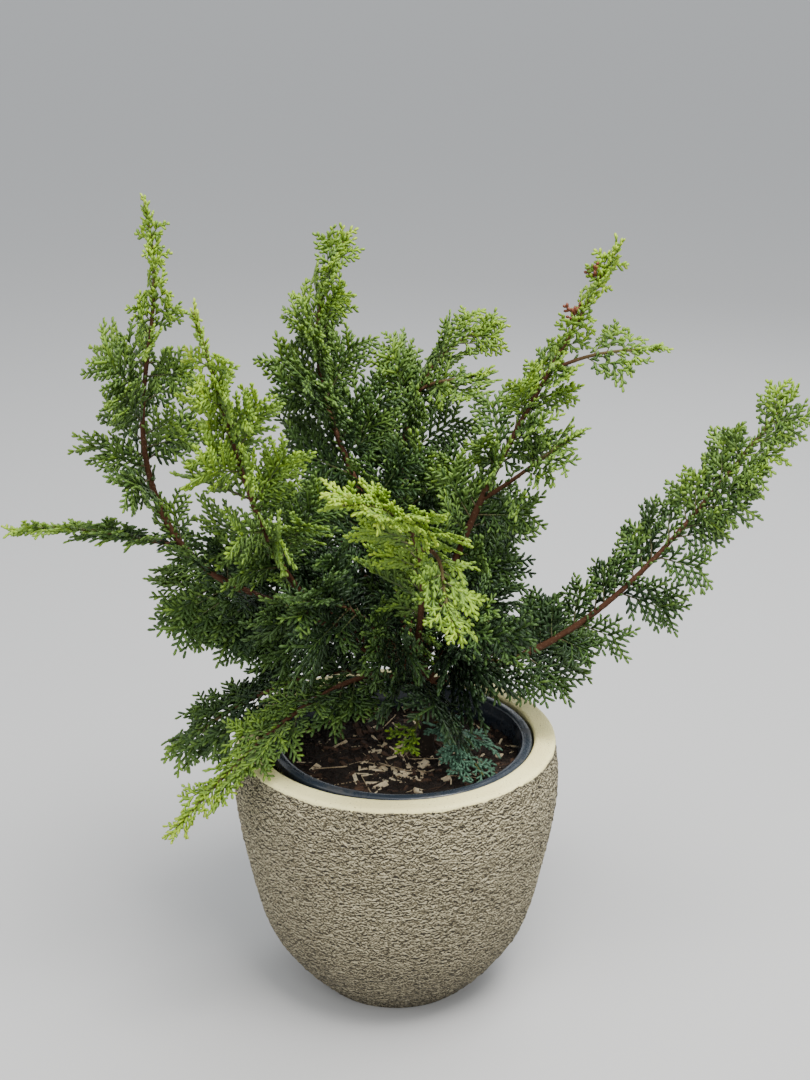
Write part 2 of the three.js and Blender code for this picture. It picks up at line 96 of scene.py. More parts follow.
class Draw(Enum):
    """The part of a spray that each repeatable chance is drawn for."""

    OPEN = 1
    TURN = 2
    TWIST = 3
    LENGTH = 4
    KEEP = 11
    SWAY = 12
    ARCH = 13
    TONE = 14
    PINNA = 20
    TILT = 80
    FINGER = 400
    CLOTHE = 9000


def placed(name: str, data: Any) -> bpy.types.Object:
    """Adds an object at the origin.

    Args:
        name: The object's name.
        data: Its mesh, lamp or camera.

    Returns:
        The object.
    """
    thing = bpy.data.objects.new(name, data)
    bpy.context.scene.collection.objects.link(thing)
    return thing


# Socket expressions and node graphs


class Term:
    """A node socket that takes part in Python expressions on numbers."""

    def __init__(self, graph: "Graph", socket: bpy.types.NodeSocket) -> None:
        """Wraps an output socket of one of the graph's nodes."""
        self.graph = graph
        self.socket = socket

    def _math(self, operation: str, *values: Any) -> "Term":
        """Adds one Math node with terms or numbers as its inputs, and takes its result."""
        return self.graph.term("ShaderNodeMath", {"operation": operation}, dict(enumerate(values)))

    def __add__(self, other: Any) -> "Term":
        """Adds a term or a number."""
        return self._math("ADD", self, other)

    def __radd__(self, other: Any) -> "Term":
        """Adds this term to a number."""
        return self._math("ADD", other, self)

    def __sub__(self, other: Any) -> "Term":
        """Takes a term or a number away."""
        return self._math("SUBTRACT", self, other)

    def __rsub__(self, other: Any) -> "Term":
        """Takes this term away from a number."""
        return self._math("SUBTRACT", other, self)

    def __mul__(self, other: Any) -> "Term":
        """Multiplies by a term or a number."""
        return self._math("MULTIPLY", self, other)

    def __rmul__(self, other: Any) -> "Term":
        """Multiplies a number by this term."""
        return self._math("MULTIPLY", other, self)

    def __truediv__(self, other: Any) -> "Term":
        """Divides by a term or a number."""
        return self._math("DIVIDE", self, other)

    def cosine(self) -> "Term":
        """The cosine of an angle in radians."""
        return self._math("COSINE", self)

    def sine(self) -> "Term":
        """The sine of an angle in radians."""
        return self._math("SINE", self)

    def clamped(self) -> "Term":
        """Keeps the value between 0 and 1."""
        return self._math("MINIMUM", self._math("MAXIMUM", self, 0.0), 1.0)

    def between(self, low: float, high: float) -> "Term":
        """Maps the value from low..high to 0..1 with soft ends.

        Args:
            low: The value that gives 0.
            high: The value that gives 1.

        Returns:
            The mapped value.
        """
        return self.graph.term(
            "ShaderNodeMapRange",
            {"interpolation_type": "SMOOTHSTEP"},
            {"Value": self, "From Min": low, "From Max": high},
        )


class Graph:
    """Adds nodes to a shader tree or a Geometry Nodes tree."""

    def __init__(self, tree: bpy.types.NodeTree) -> None:
        """Wraps the node tree that nodes are added to."""
        self.tree = tree

    def node(
        self,
        kind: str,
        settings: Optional[dict[str, Any]] = None,
        inputs: Optional[dict[Any, Any]] = None,
    ) -> bpy.types.Node:
        """Adds one node, with its settings first and then its sockets.

        Args:
            kind: The node's type.
            settings: The node's own properties by name.
            inputs: Values or terms by the socket's name or number.

        Returns:
            The node.
        """
        node = self.tree.nodes.new(kind)
        for name, value in (settings or {}).items():
            setattr(node, name, value)
        for key, value in (inputs or {}).items():
            if isinstance(value, Term):
                self.tree.links.new(value.socket, node.inputs[key])
            else:
                node.inputs[key].default_value = value
        return node

    def term(
        self,
        kind: str,
        settings: Optional[dict[str, Any]] = None,
        inputs: Optional[dict[Any, Any]] = None,
        output: Any = 0,
    ) -> Term:
        """Adds one node, as node() does, and takes the output with this name or number."""
        return Term(self, self.node(kind, settings, inputs).outputs[output])

    def noise(
        self,
        vector: Term,
        size: float,
        detail: float = 3.0,
        rough: float = 0.55,
        twist: float = 0.0,
    ) -> Term:
        """Noise from 0 to 1.

        Args:
            vector: The place to read it at.
            size: The size of its lumps, in the place's own unit.
            detail: The number of finer layers.
            rough: How much the finer layers count.
            twist: How far its lumps are drawn out and folded.

        Returns:
            The noise.
        """
        inputs = {
            "Vector": vector, "Scale": 1 / size, "Detail": detail, "Roughness": rough,
            "Distortion": twist,
        }
        return self.term("ShaderNodeTexNoise", inputs=inputs, output="Fac")


class Surface(Graph):
    """A material's shader tree around one Principled BSDF."""

    def __init__(self, name: str, roughness: float, **constants: Any) -> None:
        """Makes the material.

        Args:
            name: The material's name.
            roughness: The roughness where nothing else feeds it.
            constants: Sockets of the shader that are the same all over, with underscores
                in their names.
        """
        self.material = bpy.data.materials.new(name)
        self.material.use_nodes = True
        super().__init__(self.material.node_tree)
        self.shader = self.tree.nodes["Principled BSDF"]
        self.shader.inputs["Roughness"].default_value = roughness
        for key, value in constants.items():
            self.shader.inputs[key.replace("_", " ")].default_value = value

    def place(self) -> Term:
        """The place on the object, in metres."""
        return self.term("ShaderNodeTexCoord", output="Object")

    def stretched(self, scale: Triple, rise: float = 0.0) -> Term:
        """The place, with each axis scaled and then raised by metres along Z."""
        inputs = {"Vector": self.place(), "Scale": scale, "Location": (0.0, 0.0, rise)}
        return self.term("ShaderNodeMapping", inputs=inputs)

    def attribute(self, name: str) -> Term:
        """A number stored on the mesh under a name."""
        return self.term("ShaderNodeAttribute", {"attribute_name": name}, output="Fac")

    def blend(self, share: Any, first: Any, second: Any) -> Term:
        """Mixes two colours.

        Args:
            share: How much of the second, from 0 to 1.
            first: A colour or a term.
            second: A colour or a term.

        Returns:
            The mixed colour.
        """
        made = self.node("ShaderNodeMix", {"data_type": "RGBA"}, {0: share})
        for index, colour in ((6, first), (7, second)):
            if isinstance(colour, Term):
                self.tree.links.new(colour.socket, made.inputs[index])
            else:
                made.inputs[index].default_value = (*colour, 1.0)
        return Term(self, made.outputs[2])

    def bump(self, height: Term, depth: float) -> Term:
        """A normal from a height of 0 to 1, with the depth that 1 stands for in metres."""
        return self.term("ShaderNodeBump", inputs={"Height": height, "Distance": depth})

    def finish(self, **links: Term) -> bpy.types.Material:
        """Links terms to the shader.

        Args:
            links: Terms by the socket's name, with underscores in it.

        Returns:
            The material.
        """
        for key, term in links.items():
            self.tree.links.new(term.socket, self.shader.inputs[key.replace("_", " ")])
        return self.material


class Generator(Graph):
    """A Geometry Nodes tree that makes one kind of repeated or swept piece."""

    def __init__(self, name: str, sizes: dict[str, Any]) -> None:
        """Makes the tree with its named inputs.

        Args:
            name: The tree's name.
            sizes: The default of each input by name: a number, a whole number or a material.
        """
        super().__init__(bpy.data.node_groups.new(name, "GeometryNodeTree"))
        interface = self.tree.interface
        interface.new_socket("Geometry", in_out="INPUT", socket_type="NodeSocketGeometry")
        interface.new_socket("Geometry", in_out="OUTPUT", socket_type="NodeSocketGeometry")
        self.identifiers: dict[str, str] = {}
        for key, value in sizes.items():
            kind = {int: "Int", float: "Float"}.get(type(value), "Material")
            made = interface.new_socket(key, in_out="INPUT", socket_type=f"NodeSocket{kind}")
            if value is not None:
                made.default_value = value
            self.identifiers[key] = made.identifier
        self.entry = self.node("NodeGroupInput")
        self.exit = self.node("NodeGroupOutput")

    def given(self, name: str) -> Term:
        """The value of one of the tree's inputs."""
        return Term(self, self.entry.outputs[name])

    def place(self) -> Term:
        """The place of each point, in metres."""
        return self.term("GeometryNodeInputPosition")

    def parts(self, vector: Term) -> list[Term]:
        """The X, Y and Z parts of a vector."""
        node = self.node("ShaderNodeSeparateXYZ", inputs={0: vector})
        return [Term(self, socket) for socket in node.outputs]

    def above(self, value: Term, least: float) -> Term:
        """Whether a value is greater than a number."""
        inputs = {"A": value, "B": least}
        return self.term("FunctionNodeCompare", {"operation": "GREATER_THAN"}, inputs)

    def stored(self, name: str, kind: str = "FLOAT") -> Term:
        """A value stored on the geometry under a name, with its data type."""
        return self.term("GeometryNodeInputNamedAttribute", {"data_type": kind}, {"Name": name})

    def store(self, geometry: Term, name: str, value: Term) -> Term:
        """Stores a number at each point.

        Args:
            geometry: The geometry.
            name: The attribute's name.
            value: The number.

        Returns:
            The geometry with the number stored.
        """
        return self.term(
            "GeometryNodeStoreNamedAttribute", {"data_type": "FLOAT", "domain": "POINT"},
            {"Geometry": geometry, "Name": name, "Value": value},
        )

    def smooth(self, geometry: Term) -> Term:
        """The geometry with smooth shading."""
        return self.term("GeometryNodeSetShadeSmooth", inputs={"Geometry": geometry})

    def ring(self, sides: Term) -> Term:
        """A circle with a radius of one, to sweep along a line."""
        inputs = {"Resolution": sides, "Radius": 1.0}
        return self.term("GeometryNodeCurvePrimitiveCircle", {"mode": "RADIUS"}, inputs)

    def swept(self, line: Term, ring: Term, radius: Term) -> Term:
        """A capped body swept along a line.

        Args:
            line: The line.
            ring: The outline that runs along it.
            radius: The outline's scale at each point of the line.

        Returns:
            The body.
        """
        return self.term("GeometryNodeCurveToMesh", inputs={
            "Curve": line, "Profile Curve": ring, "Scale": radius, "Fill Caps": True,
        })

    def vector(self, x: Any, y: Any, z: Any) -> Term:
        """A vector from three numbers or terms."""
        return self.term("ShaderNodeCombineXYZ", inputs={0: x, 1: y, 2: z})

    def scaled(self, vector: Term, share: Any) -> Term:
        """A vector times a number or a term."""
        inputs = {"Vector": vector, "Scale": share}
        return self.term("ShaderNodeVectorMath", {"operation": "SCALE"}, inputs)

    def chance(self, low: Triple, high: Triple, seed: int) -> Term:
        """A random vector between two for each element, from a fixed seed."""
        inputs = {0: low, 1: high, "Seed": seed}
        return self.term("FunctionNodeRandomValue", {"data_type": "FLOAT_VECTOR"}, inputs)

    def close(self, geometry: Term, materials: Sequence[tuple[Any, Any]]) -> None:
        """Ends the tree with Realize Instances and Set Material.

        Args:
            geometry: The geometry to hand out.
            materials: Pairs of a selection, or None for all faces, and a material's term.
        """
        geometry = self.term("GeometryNodeRealizeInstances", inputs={"Geometry": geometry})
        for selection, material in materials:
            inputs = {"Geometry": geometry, "Material": material}
            if selection is not None:
                inputs["Selection"] = selection
            geometry = self.term("GeometryNodeSetMaterial", inputs=inputs)
        self.tree.links.new(geometry.socket, self.exit.inputs[0])

    def grow(self, name: str, mesh: bpy.types.Mesh, sizes: dict[str, Any]) -> bpy.types.Object:
        """Runs the tree on a mesh and keeps the result as a plain mesh.

        Args:
            name: The new object's name.
            mesh: The mesh that the tree reads.
            sizes: Values for the tree's inputs by name.

        Returns:
            An object at the origin, with no modifier.
        """
        piece = placed(name, mesh)
        modifier = piece.modifiers.new(name, "NODES")
        modifier.node_group = self.tree
        for key, value in sizes.items():
            modifier[self.identifiers[key]] = value
        graph = bpy.context.evaluated_depsgraph_get()
        grown = bpy.data.meshes.new_from_object(piece.evaluated_get(graph), depsgraph=graph)
        piece.modifiers.clear()
        piece.data = grown
        grown.name = name
        bpy.data.meshes.remove(mesh)
        return piece


# Finishes


@dataclass(frozen=True)
class LeafFinish:
    """The plain colour of one tone of leaves, dealt out by spray."""

    tone: Tone
    colour: Triple
    roughness: float = 0.52
    gloss: float = 0.35

    def material(self) -> bpy.types.Material:
        """Builds the material.

        Returns:
            The material.
        """
        return Surface(
            f"leaves_{self.tone.name.lower()}", self.roughness,
            Base_Color=(*self.colour, 1.0), Specular_IOR_Level=self.gloss,
        ).material


@dataclass(frozen=True)
class BarkFinish:
    """Thin flaking bark: red-brown on the boughs, greyer where it is thick, greener at the tips."""

    name: str = "bark"
    old: Triple = (0.026, 0.019, 0.014)
    red: Triple = (0.060, 0.024, 0.011)
    young: Triple = (0.078, 0.082, 0.023)
    flake: Triple = (0.240, 0.165, 0.110)
    crack: Triple = (0.012, 0.006, 0.005)
    young_radius: Pair = (1.0, 1.8)
    old_radius: Pair = (3.6, 5.6)
    flake_size: float = 2.4
    flake_edge: Pair = (0.56, 0.72)
    flake_share: float = 0.5
    crack_edge: Pair = (0.22, 0.46)
    crack_share: float = 0.8
    flake_depth: float = 0.35

    def material(self) -> bpy.types.Material:
        """Builds the material.

        Returns:
            The material.
        """
        surface = Surface(self.name, 0.78, Specular_IOR_Level=0.18)
        place = surface.place()
        relief = surface.attribute("relief")
        radius = surface.attribute("thick") / MM
        flakes = surface.noise(place, self.flake_size * MM, 4.0, 0.65)
        colour = surface.blend(radius.between(*self.old_radius), self.red, self.old)
        colour = surface.blend(1 - radius.between(*self.young_radius), colour, self.young)
        flaked = flakes.between(*self.flake_edge) * self.flake_share
        colour = surface.blend(flaked, colour, self.flake)
        cracked = (1 - relief.between(*self.crack_edge)) * self.crack_share
        colour = surface.blend(cracked, colour, self.crack)
        return surface.finish(
            Base_Color=colour, Normal=surface.bump(flakes, self.flake_depth * MM)
        )


@dataclass(frozen=True)
class TwigFinish:
    """The midribs of the sprays: brown at the foot and green where scale leaves clothe them."""

    name: str = "twigs"
    brown: Triple = (0.064, 0.045, 0.018)
    green: Triple = (0.053, 0.095, 0.021)
    streak_size: float = 6
    greening: Triple = (1.5, 0.8, 0.55)

    def material(self) -> bpy.types.Material:
        """Builds the material.

        Returns:
            The material.
        """
        surface = Surface(self.name, 0.62)
        streaks = surface.noise(surface.place(), self.streak_size * MM, 2.0)
        outward, streaked, late = self.greening
        share = (surface.attribute("grown") * outward + streaks * streaked - late).clamped()
        return surface.finish(Base_Color=surface.blend(share, self.brown, self.green))


@dataclass(frozen=True)
class PlanterFinish:
    """A cast wall of tan grit with painted highlights on its ridges and painted shade in its pits
    and towards its foot, under a smooth cream lip.
    """

    name: str = "planter"
    tan: Triple = (0.160, 0.135, 0.076)
    # Colours of the painted highlights on the ridges and the painted shade in the pits.
    ridge: Triple = (0.605, 0.540, 0.350)
    pit: Triple = (0.022, 0.017, 0.010)
    # A dark colour for painted shade towards the foot of the wall, and for broad darker patches of
    # grit.
    damp: Triple = (0.037, 0.030, 0.019)
    foot_shade_height: float = 150
    foot_shade_share: float = 0.55
    patch_size: float = 60
    patch_edge: Pair = (0.35, 0.75)
    patch_share: float = 0.15
    squash: Triple = (1.0, 1.0, 1.75)
    ridge_size: float = 4.8
    ridge_rise: float = 1.9
    ridge_twist: float = 1.1
    highlight_edge: Pair = (0.50, 0.60)
    shade_edge: Pair = (0.40, 0.49)
    painted_light_gain: float = 1.7
    fine_size: float = 1.7
    light_and_grain_shares: Triple = (0.45, 0.22, 0.33)
    cream: Triple = (0.98, 0.90, 0.44)
    warm: Triple = (0.88, 0.75, 0.34)
    warm_edge: Pair = (0.4, 0.7)
    warm_share: float = 0.5
    stain: Triple = (0.30, 0.22, 0.11)
    stain_size: float = 2.2
    stain_edge: Pair = (0.61, 0.70)
    stain_share: float = 0.7
    lip_gain: float = 1.6
    lip_start: float = 0.3
    lip_ragged: float = 2.2
    lip_edge: Pair = (0.42, 0.58)
    lip_height: float = 0.45
    lip_grain: float = 0.12
    wall_shares: Pair = (0.65, 0.35)
    lip_roughness: float = 0.72
    wall_roughness: float = 0.22
    depth: float = 7.0

    def material(self) -> bpy.types.Material:
        """Builds the material.

        Returns:
            The material.
        """
        surface = Surface(self.name, 0.9)
        place = surface.place()
        wall = surface.attribute("grit")
        ridges, above = (
            surface.noise(
                surface.stretched(self.squash, rise * MM), self.ridge_size * MM, 2.0, 0.6,
                self.ridge_twist,
            )
            for rise in (0.0, self.ridge_rise)
        )
        # Painted light: the ridge noise less the same noise a little higher gives highlights on
        # slopes that face up and shade on those that face down.
        lit = (ridges - above) * self.painted_light_gain + 0.5
        fine = surface.noise(place, self.fine_size * MM, 1.0, 0.6)
        broad = surface.noise(place, self.patch_size * MM, 3.0)
        by_light, by_ridge, by_fine = self.light_and_grain_shares
        grain = lit * by_light + ridges * by_ridge + fine * by_fine
        # Painted highlights on the ridges and painted shade in the pits, placed by the lit slope
        # mixed with the ridge height and fine noise.
        grit = surface.blend(grain.between(*self.highlight_edge), self.tan, self.ridge)
        grit = surface.blend(1 - grain.between(*self.shade_edge), grit, self.pit)
        # Painted shade darkens the lowest part of the wall towards its foot; broad random patches
        # of darker grit join it.
        low = 1 - surface.attribute("height").between(0.0, self.foot_shade_height * MM)
        patches = broad.between(*self.patch_edge) * self.patch_share
        grit = surface.blend((low * self.foot_shade_share + patches).clamped(), grit, self.damp)
        specks = surface.noise(place, self.stain_size * MM, 3.0, 0.6)
        warmed = broad.between(*self.warm_edge) * self.warm_share
        lip = surface.blend(warmed, self.cream, self.warm)
        stained = specks.between(*self.stain_edge) * self.stain_share
        lip = surface.blend(stained, lip, self.stain)
        ragged = (ridges - 0.5) * self.lip_ragged
        edge = (wall * self.lip_gain - self.lip_start + ragged).between(*self.lip_edge)
        colour = surface.blend(edge, lip, grit)
        wall_height = ridges * self.wall_shares[0] + fine * self.wall_shares[1]
        height = edge * wall_height + (1 - edge) * (fine * self.lip_grain + self.lip_height)
        return surface.finish(
            Base_Color=colour,
            Roughness=self.lip_roughness + edge * self.wall_roughness,
            Normal=surface.bump(height, self.depth * MM),
        )


@dataclass(frozen=True)
class PotFinish:
    """Moulded black plastic with a half gloss and a film of dust."""

    name: str = "nursery_pot"
    plastic: Triple = (0.022, 0.030, 0.042)
    dust: Triple = (0.075, 0.066, 0.055)
    dust_size: float = 22
    dust_edge: Pair = (0.52, 0.74)
    dust_share: float = 0.55
    ripple_size: float = 30
    ripple_depth: float = 0.6
    ripple_squash: Triple = (1.0, 1.0, 0.25)
    clean_roughness: float = 0.26
    dust_roughness: float = 0.4

    def material(self) -> bpy.types.Material:
        """Builds the material.

        Returns:
            The material.
        """
        surface = Surface(self.name, 0.3)
        film = surface.noise(surface.place(), self.dust_size * MM, 5.0, 0.65)
        ripple = surface.noise(
            surface.stretched(self.ripple_squash), self.ripple_size * MM, 2.0
        )
        dusty = film.between(*self.dust_edge)
        return surface.finish(
            Base_Color=surface.blend(dusty * self.dust_share, self.plastic, self.dust),
            Roughness=self.clean_roughness + dusty * self.dust_roughness,
            Normal=surface.bump(ripple, self.ripple_depth * MM),
        )


@dataclass(frozen=True)
class CompostFinish:
    """Dark moist crumbs of bark compost."""

    name: str = "compost"
    dark: Triple = (0.010, 0.007, 0.005)
    brown: Triple = (0.045, 0.026, 0.016)
    size: float = 3.0
    brown_edge: Pair = (0.35, 0.7)
    depth: float = 1.2

    def material(self) -> bpy.types.Material:
        """Builds the material.

        Returns:
            The material.
        """
        surface = Surface(self.name, 0.85)
        lumps = surface.noise(surface.place(), self.size * MM, 4.0, 0.7)
        colour = surface.blend(lumps.between(*self.brown_edge), self.dark, self.brown)
        return surface.finish(Base_Color=colour, Normal=surface.bump(lumps, self.depth * MM))


@dataclass(frozen=True)
class ChipFinish:
    """Splintered wood in one of the shades that lie on the compost."""

    name: str
    pale: Triple
    dark: Triple
    grain_size: float = 1.6
    patch_size: float = 9
    shares: Pair = (0.6, 0.5)
    pale_edge: Pair = (0.38, 0.68)
    depth: float = 0.5

    def material(self) -> bpy.types.Material:
        """Builds the material.

        Returns:
            The material.
        """
        surface = Surface(self.name, 0.8)
        grain = surface.noise(surface.place(), self.grain_size * MM, 4.0, 0.7)
        patches = surface.noise(surface.place(), self.patch_size * MM, 2.0)
        share = (grain * self.shares[0] + patches * self.shares[1]).between(*self.pale_edge)
        colour = surface.blend(share, self.dark, self.pale)
        return surface.finish(Base_Color=colour, Normal=surface.bump(grain, self.depth * MM))


@dataclass(frozen=True)
class FloorFinish:
    """A plain pale floor."""

    name: str = "floor"
    colour: Triple = (0.44, 0.44, 0.44)

    def material(self) -> bpy.types.Material:
        """Builds the material."""
        return Surface(self.name, 0.9, Base_Color=(*self.colour, 1.0)).material


# The dark tones are painted shade in the heart and under the sprays; the bright tones are the paler
# young growth with painted light on it.
LEAF_FINISHES = (
    LeafFinish(Tone.HEART, (0.007, 0.020, 0.006)),
    LeafFinish(Tone.SHADE, (0.016, 0.040, 0.010)),
    LeafFinish(Tone.DEEP, (0.039, 0.084, 0.015)),
    LeafFinish(Tone.MIDDLE, (0.083, 0.154, 0.024)),
    LeafFinish(Tone.FRESH, (0.146, 0.252, 0.026)),
    LeafFinish(Tone.BRIGHT, (0.212, 0.345, 0.020)),
    LeafFinish(Tone.TIP, (0.300, 0.420, 0.028)),
    LeafFinish(Tone.BLUE, (0.075, 0.160, 0.102)),
    LeafFinish(Tone.DEAD, (0.161, 0.049, 0.025)),
)


# Small helpers for meshes


def mesh_of(
    name: str,
    points: np.ndarray,
    edges: Sequence[Pair] = (),
    faces: Sequence[Sequence[int]] = (),
    values: Optional[dict[str, np.ndarray]] = None,
) -> bpy.types.Mesh:
    """Makes a mesh with values stored at its points.

    Args:
        name: The mesh's name.
        points: The points in metres, one row each.
        edges: Pairs of point numbers.
        faces: Rings of point numbers.
        values: Arrays by name, with one number or vector for each point.

    Returns:
        The mesh.
    """
    mesh = bpy.data.meshes.new(name)
    mesh.from_pydata(points.tolist(), list(edges), list(faces))
    for key, array in (values or {}).items():
        array = np.asarray(array, np.float32)
        kind, part = ("FLOAT_VECTOR", "vector") if array.ndim == 2 else ("FLOAT", "value")
        mesh.attributes.new(key, kind, "POINT").data.foreach_set(part, array.ravel())
    return mesh


def chains(
    name: str, lines: Sequence[np.ndarray], values: dict[str, Sequence[np.ndarray]]
) -> bpy.types.Mesh:
    """Joins lines with the same number of points into one mesh of loose edges.

    Args:
        name: The mesh's name.
        lines: The points of each line, in millimetres.
        values: Arrays by name for each line, with one number for each point.

    Returns:
        The mesh.
    """
    count = len(lines[0])
    edges = [
        (first + step, first + step + 1)
        for first in range(0, count * len(lines), count) for step in range(count - 1)
    ]
    stored = {key: np.concatenate(arrays) for key, arrays in values.items()}
    return mesh_of(name, np.concatenate(lines) * MM, edges=edges, values=stored)


def settle(piece: bpy.types.Object, nodes: Sequence[str] = ()) -> None:
    """Makes a piece ride on the body and stand for its nodes.

    Args:
        piece: The finished piece.
        nodes: The nodes that it replaces.
    """
    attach(piece, BODY)
    if nodes:
        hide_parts(*nodes)
    log.info("%s: %d faces", piece.name, len(piece.data.polygons))


def catmull(points: Sequence[Pair], steps: int) -> np.ndarray:
    """Points along a smooth curve through given points.

    Args:
        points: The points that the curve passes through.
        steps: The number of equal steps in its parameter.

    Returns:
        One row for each point of the curve.
    """
    known = np.array(points, float)
    where = np.linspace(0, len(known) - 1, steps + 1)
    start = np.minimum(where.astype(int), len(known) - 2)
    t = (where - start)[:, None]
    before, after = np.maximum(start - 1, 0), np.minimum(start + 2, len(known) - 1)
    p0, p1, p2, p3 = known[before], known[start], known[start + 1], known[after]
    v0, v1 = (p2 - p0) / 2, (p3 - p1) / 2
    cubic = (2 * p1 - 2 * p2 + v0 + v1) * t**3 + (-3 * p1 + 3 * p2 - 2 * v0 - v1) * t**2
    return cubic + v0 * t + p1


def turned(name: str, profile: np.ndarray, sides: int, values: dict[str, Any]) -> bpy.types.Mesh:
    """A closed body turned about the vertical axis.

    Args:
        name: The mesh's name.
        profile: Rows of radius and height in metres, from the axis underneath, round the
            outside and back to the axis.
        sides: The number of facets round it.
        values: Functions by name that give a stored value from the profile row, the turn
            and the height.

    Returns:
        The mesh.
    """
    turn = np.linspace(0, 2 * math.pi, sides, endpoint=False)
    rings = profile[1:-1]
    radius, height = rings[:, :1], rings[:, 1:]
    grid = np.stack(
        [radius * np.cos(turn), radius * np.sin(turn), height + 0 * turn], axis=2
    ).reshape(-1, 3)
    ends = [[0, 0, profile[0, 1]], [0, 0, profile[-1, 1]]]
    points = np.vstack([grid, ends])
    faces = []
    for ring in range(len(rings) - 1):
        low, high = ring * sides, (ring + 1) * sides
        for side in range(sides):
            following = (side + 1) % sides
            faces.append((low + side, low + following, high + following, high + side))
    last = (len(rings) - 1) * sides
    for side in range(sides):
        following = (side + 1) % sides
        faces.append((following, side, len(grid)))
        faces.append((last + side, last + following, len(grid) + 1))
    stored = {}
    for key, rule in values.items():
        array = rule(np.repeat(np.arange(len(rings)), sides), np.tile(turn, len(rings)), grid)
        stored[key] = np.append(array, [array[0], array[-1]])
    return mesh_of(name, points, faces=faces, values=stored)


# The rule that the limbs and sprays grow by


WORD = 2**32 - 1
PRIMES = (374761393, 668265263, 961748941, 1274126177, 224682251)
CURVE_STEPS = 200
STEM_POINTS = 14


def chance(a: Any, b: Any, c: Any) -> np.ndarray:
    """A repeatable number from 0 to 1 for three whole numbers, by mixing their bits.

    Args:
        a: A whole number or an array of them.
        b: A whole number or an array of them.
        c: A whole number or an array of them.

    Returns:
        The number or numbers.
    """
    mixed = np.uint64(0)
    for value, prime in zip((a, b, c), PRIMES):
        counted = np.asarray(value, np.uint64) + np.uint64(1)
        mixed = mixed ^ (counted * np.uint64(prime) & np.uint64(WORD))
    stirred = (mixed ^ (mixed >> np.uint64(13))) * np.uint64(PRIMES[3]) & np.uint64(WORD)
    folded = (stirred ^ (stirred >> np.uint64(15))) * np.uint64(PRIMES[4]) & np.uint64(WORD)
    return (folded ^ (folded >> np.uint64(16))) / (WORD + 1.0)


def wobble(a: Any, b: Any, c: Any) -> np.ndarray:
    """A repeatable number from -1 to 1 for three whole numbers."""
    return 2 * chance(a, b, c) - 1


def direction(heading: float, lift: float) -> np.ndarray:
    """A unit vector.

    Args:
        heading: Degrees from +X towards +Y.
        lift: Degrees above the horizontal.

    Returns:
        The vector.
    """
    turn, rise = math.radians(heading), math.radians(lift)
    level = math.cos(rise)
    return np.array([level * math.cos(turn), level * math.sin(turn), math.sin(rise)])


def unit(vector: np.ndarray) -> np.ndarray:
    """The vector or vectors with a length of one."""
    return vector / np.linalg.norm(vector, axis=-1, keepdims=True)


def through_three(values: Triple, share: float, slender: float = 0.0) -> float:
    """The value at a share of the way through three, where the last holds over the slender end."""
    last = 1 - slender
    return float(np.interp(share, (0, last * 0.55, last), values))


@dataclass(frozen=True)
class LimbSize:
    """The named sizes of one limb, in millimetres and degrees.

    A limb leaves its parent at a share of the parent's length and runs to its tip. It leaves and
    arrives at a heading and a lift. Its foliage starts at the share bare of its length, and its
    sprays have the lengths in spread at the start, the middle and the tip. They stay short over
    the share slender at the tip.
    """

    name: str
    parent: str
    at: float
    tip: Triple
    leaves: Pair
    arrives: Pair
    radius: Pair
    bare: float = 1.0
    spread: Optional[Triple] = None
    layout: Layout = Layout.FLAT
    roll: float = 0.0
    droop: float = 0.0
    slender: float = 0.0
    # The tones at the foot, middle and tip: the low tones of the heart, low and rear limbs are
    # painted shade, and the high tones of the outer limbs are paler young growth with painted
    # light.
    tint: Triple = (1.0, 2.4, 3.6)
    density: float = 0.85


@dataclass(frozen=True)
class TrunkSize:
    """The named sizes of the trunk, in millimetres and degrees."""

    foot: Triple = (25, 5, 230.3)
    head: Triple = (10, -6, 322)
    leaves: Pair = (20, 74)
    arrives: Pair = (195, 40)
    flare_radius: float = 13
    foot_radius: float = 7.5
    head_radius: float = 5.2
    flare_height: float = 22

    def radius(self, share: np.ndarray) -> np.ndarray:
        """The half thickness, with the flare at the root.

        Args:
            share: The shares of the length.

        Returns:
            The half thickness at each, in millimetres.
        """
        risen = share * (self.head[2] - self.foot[2])
        flare = np.maximum(0, 1 - risen / self.flare_height)
        taper = self.foot_radius + (self.head_radius - self.foot_radius) * share
        return taper + (self.flare_radius - self.foot_radius) * flare**2


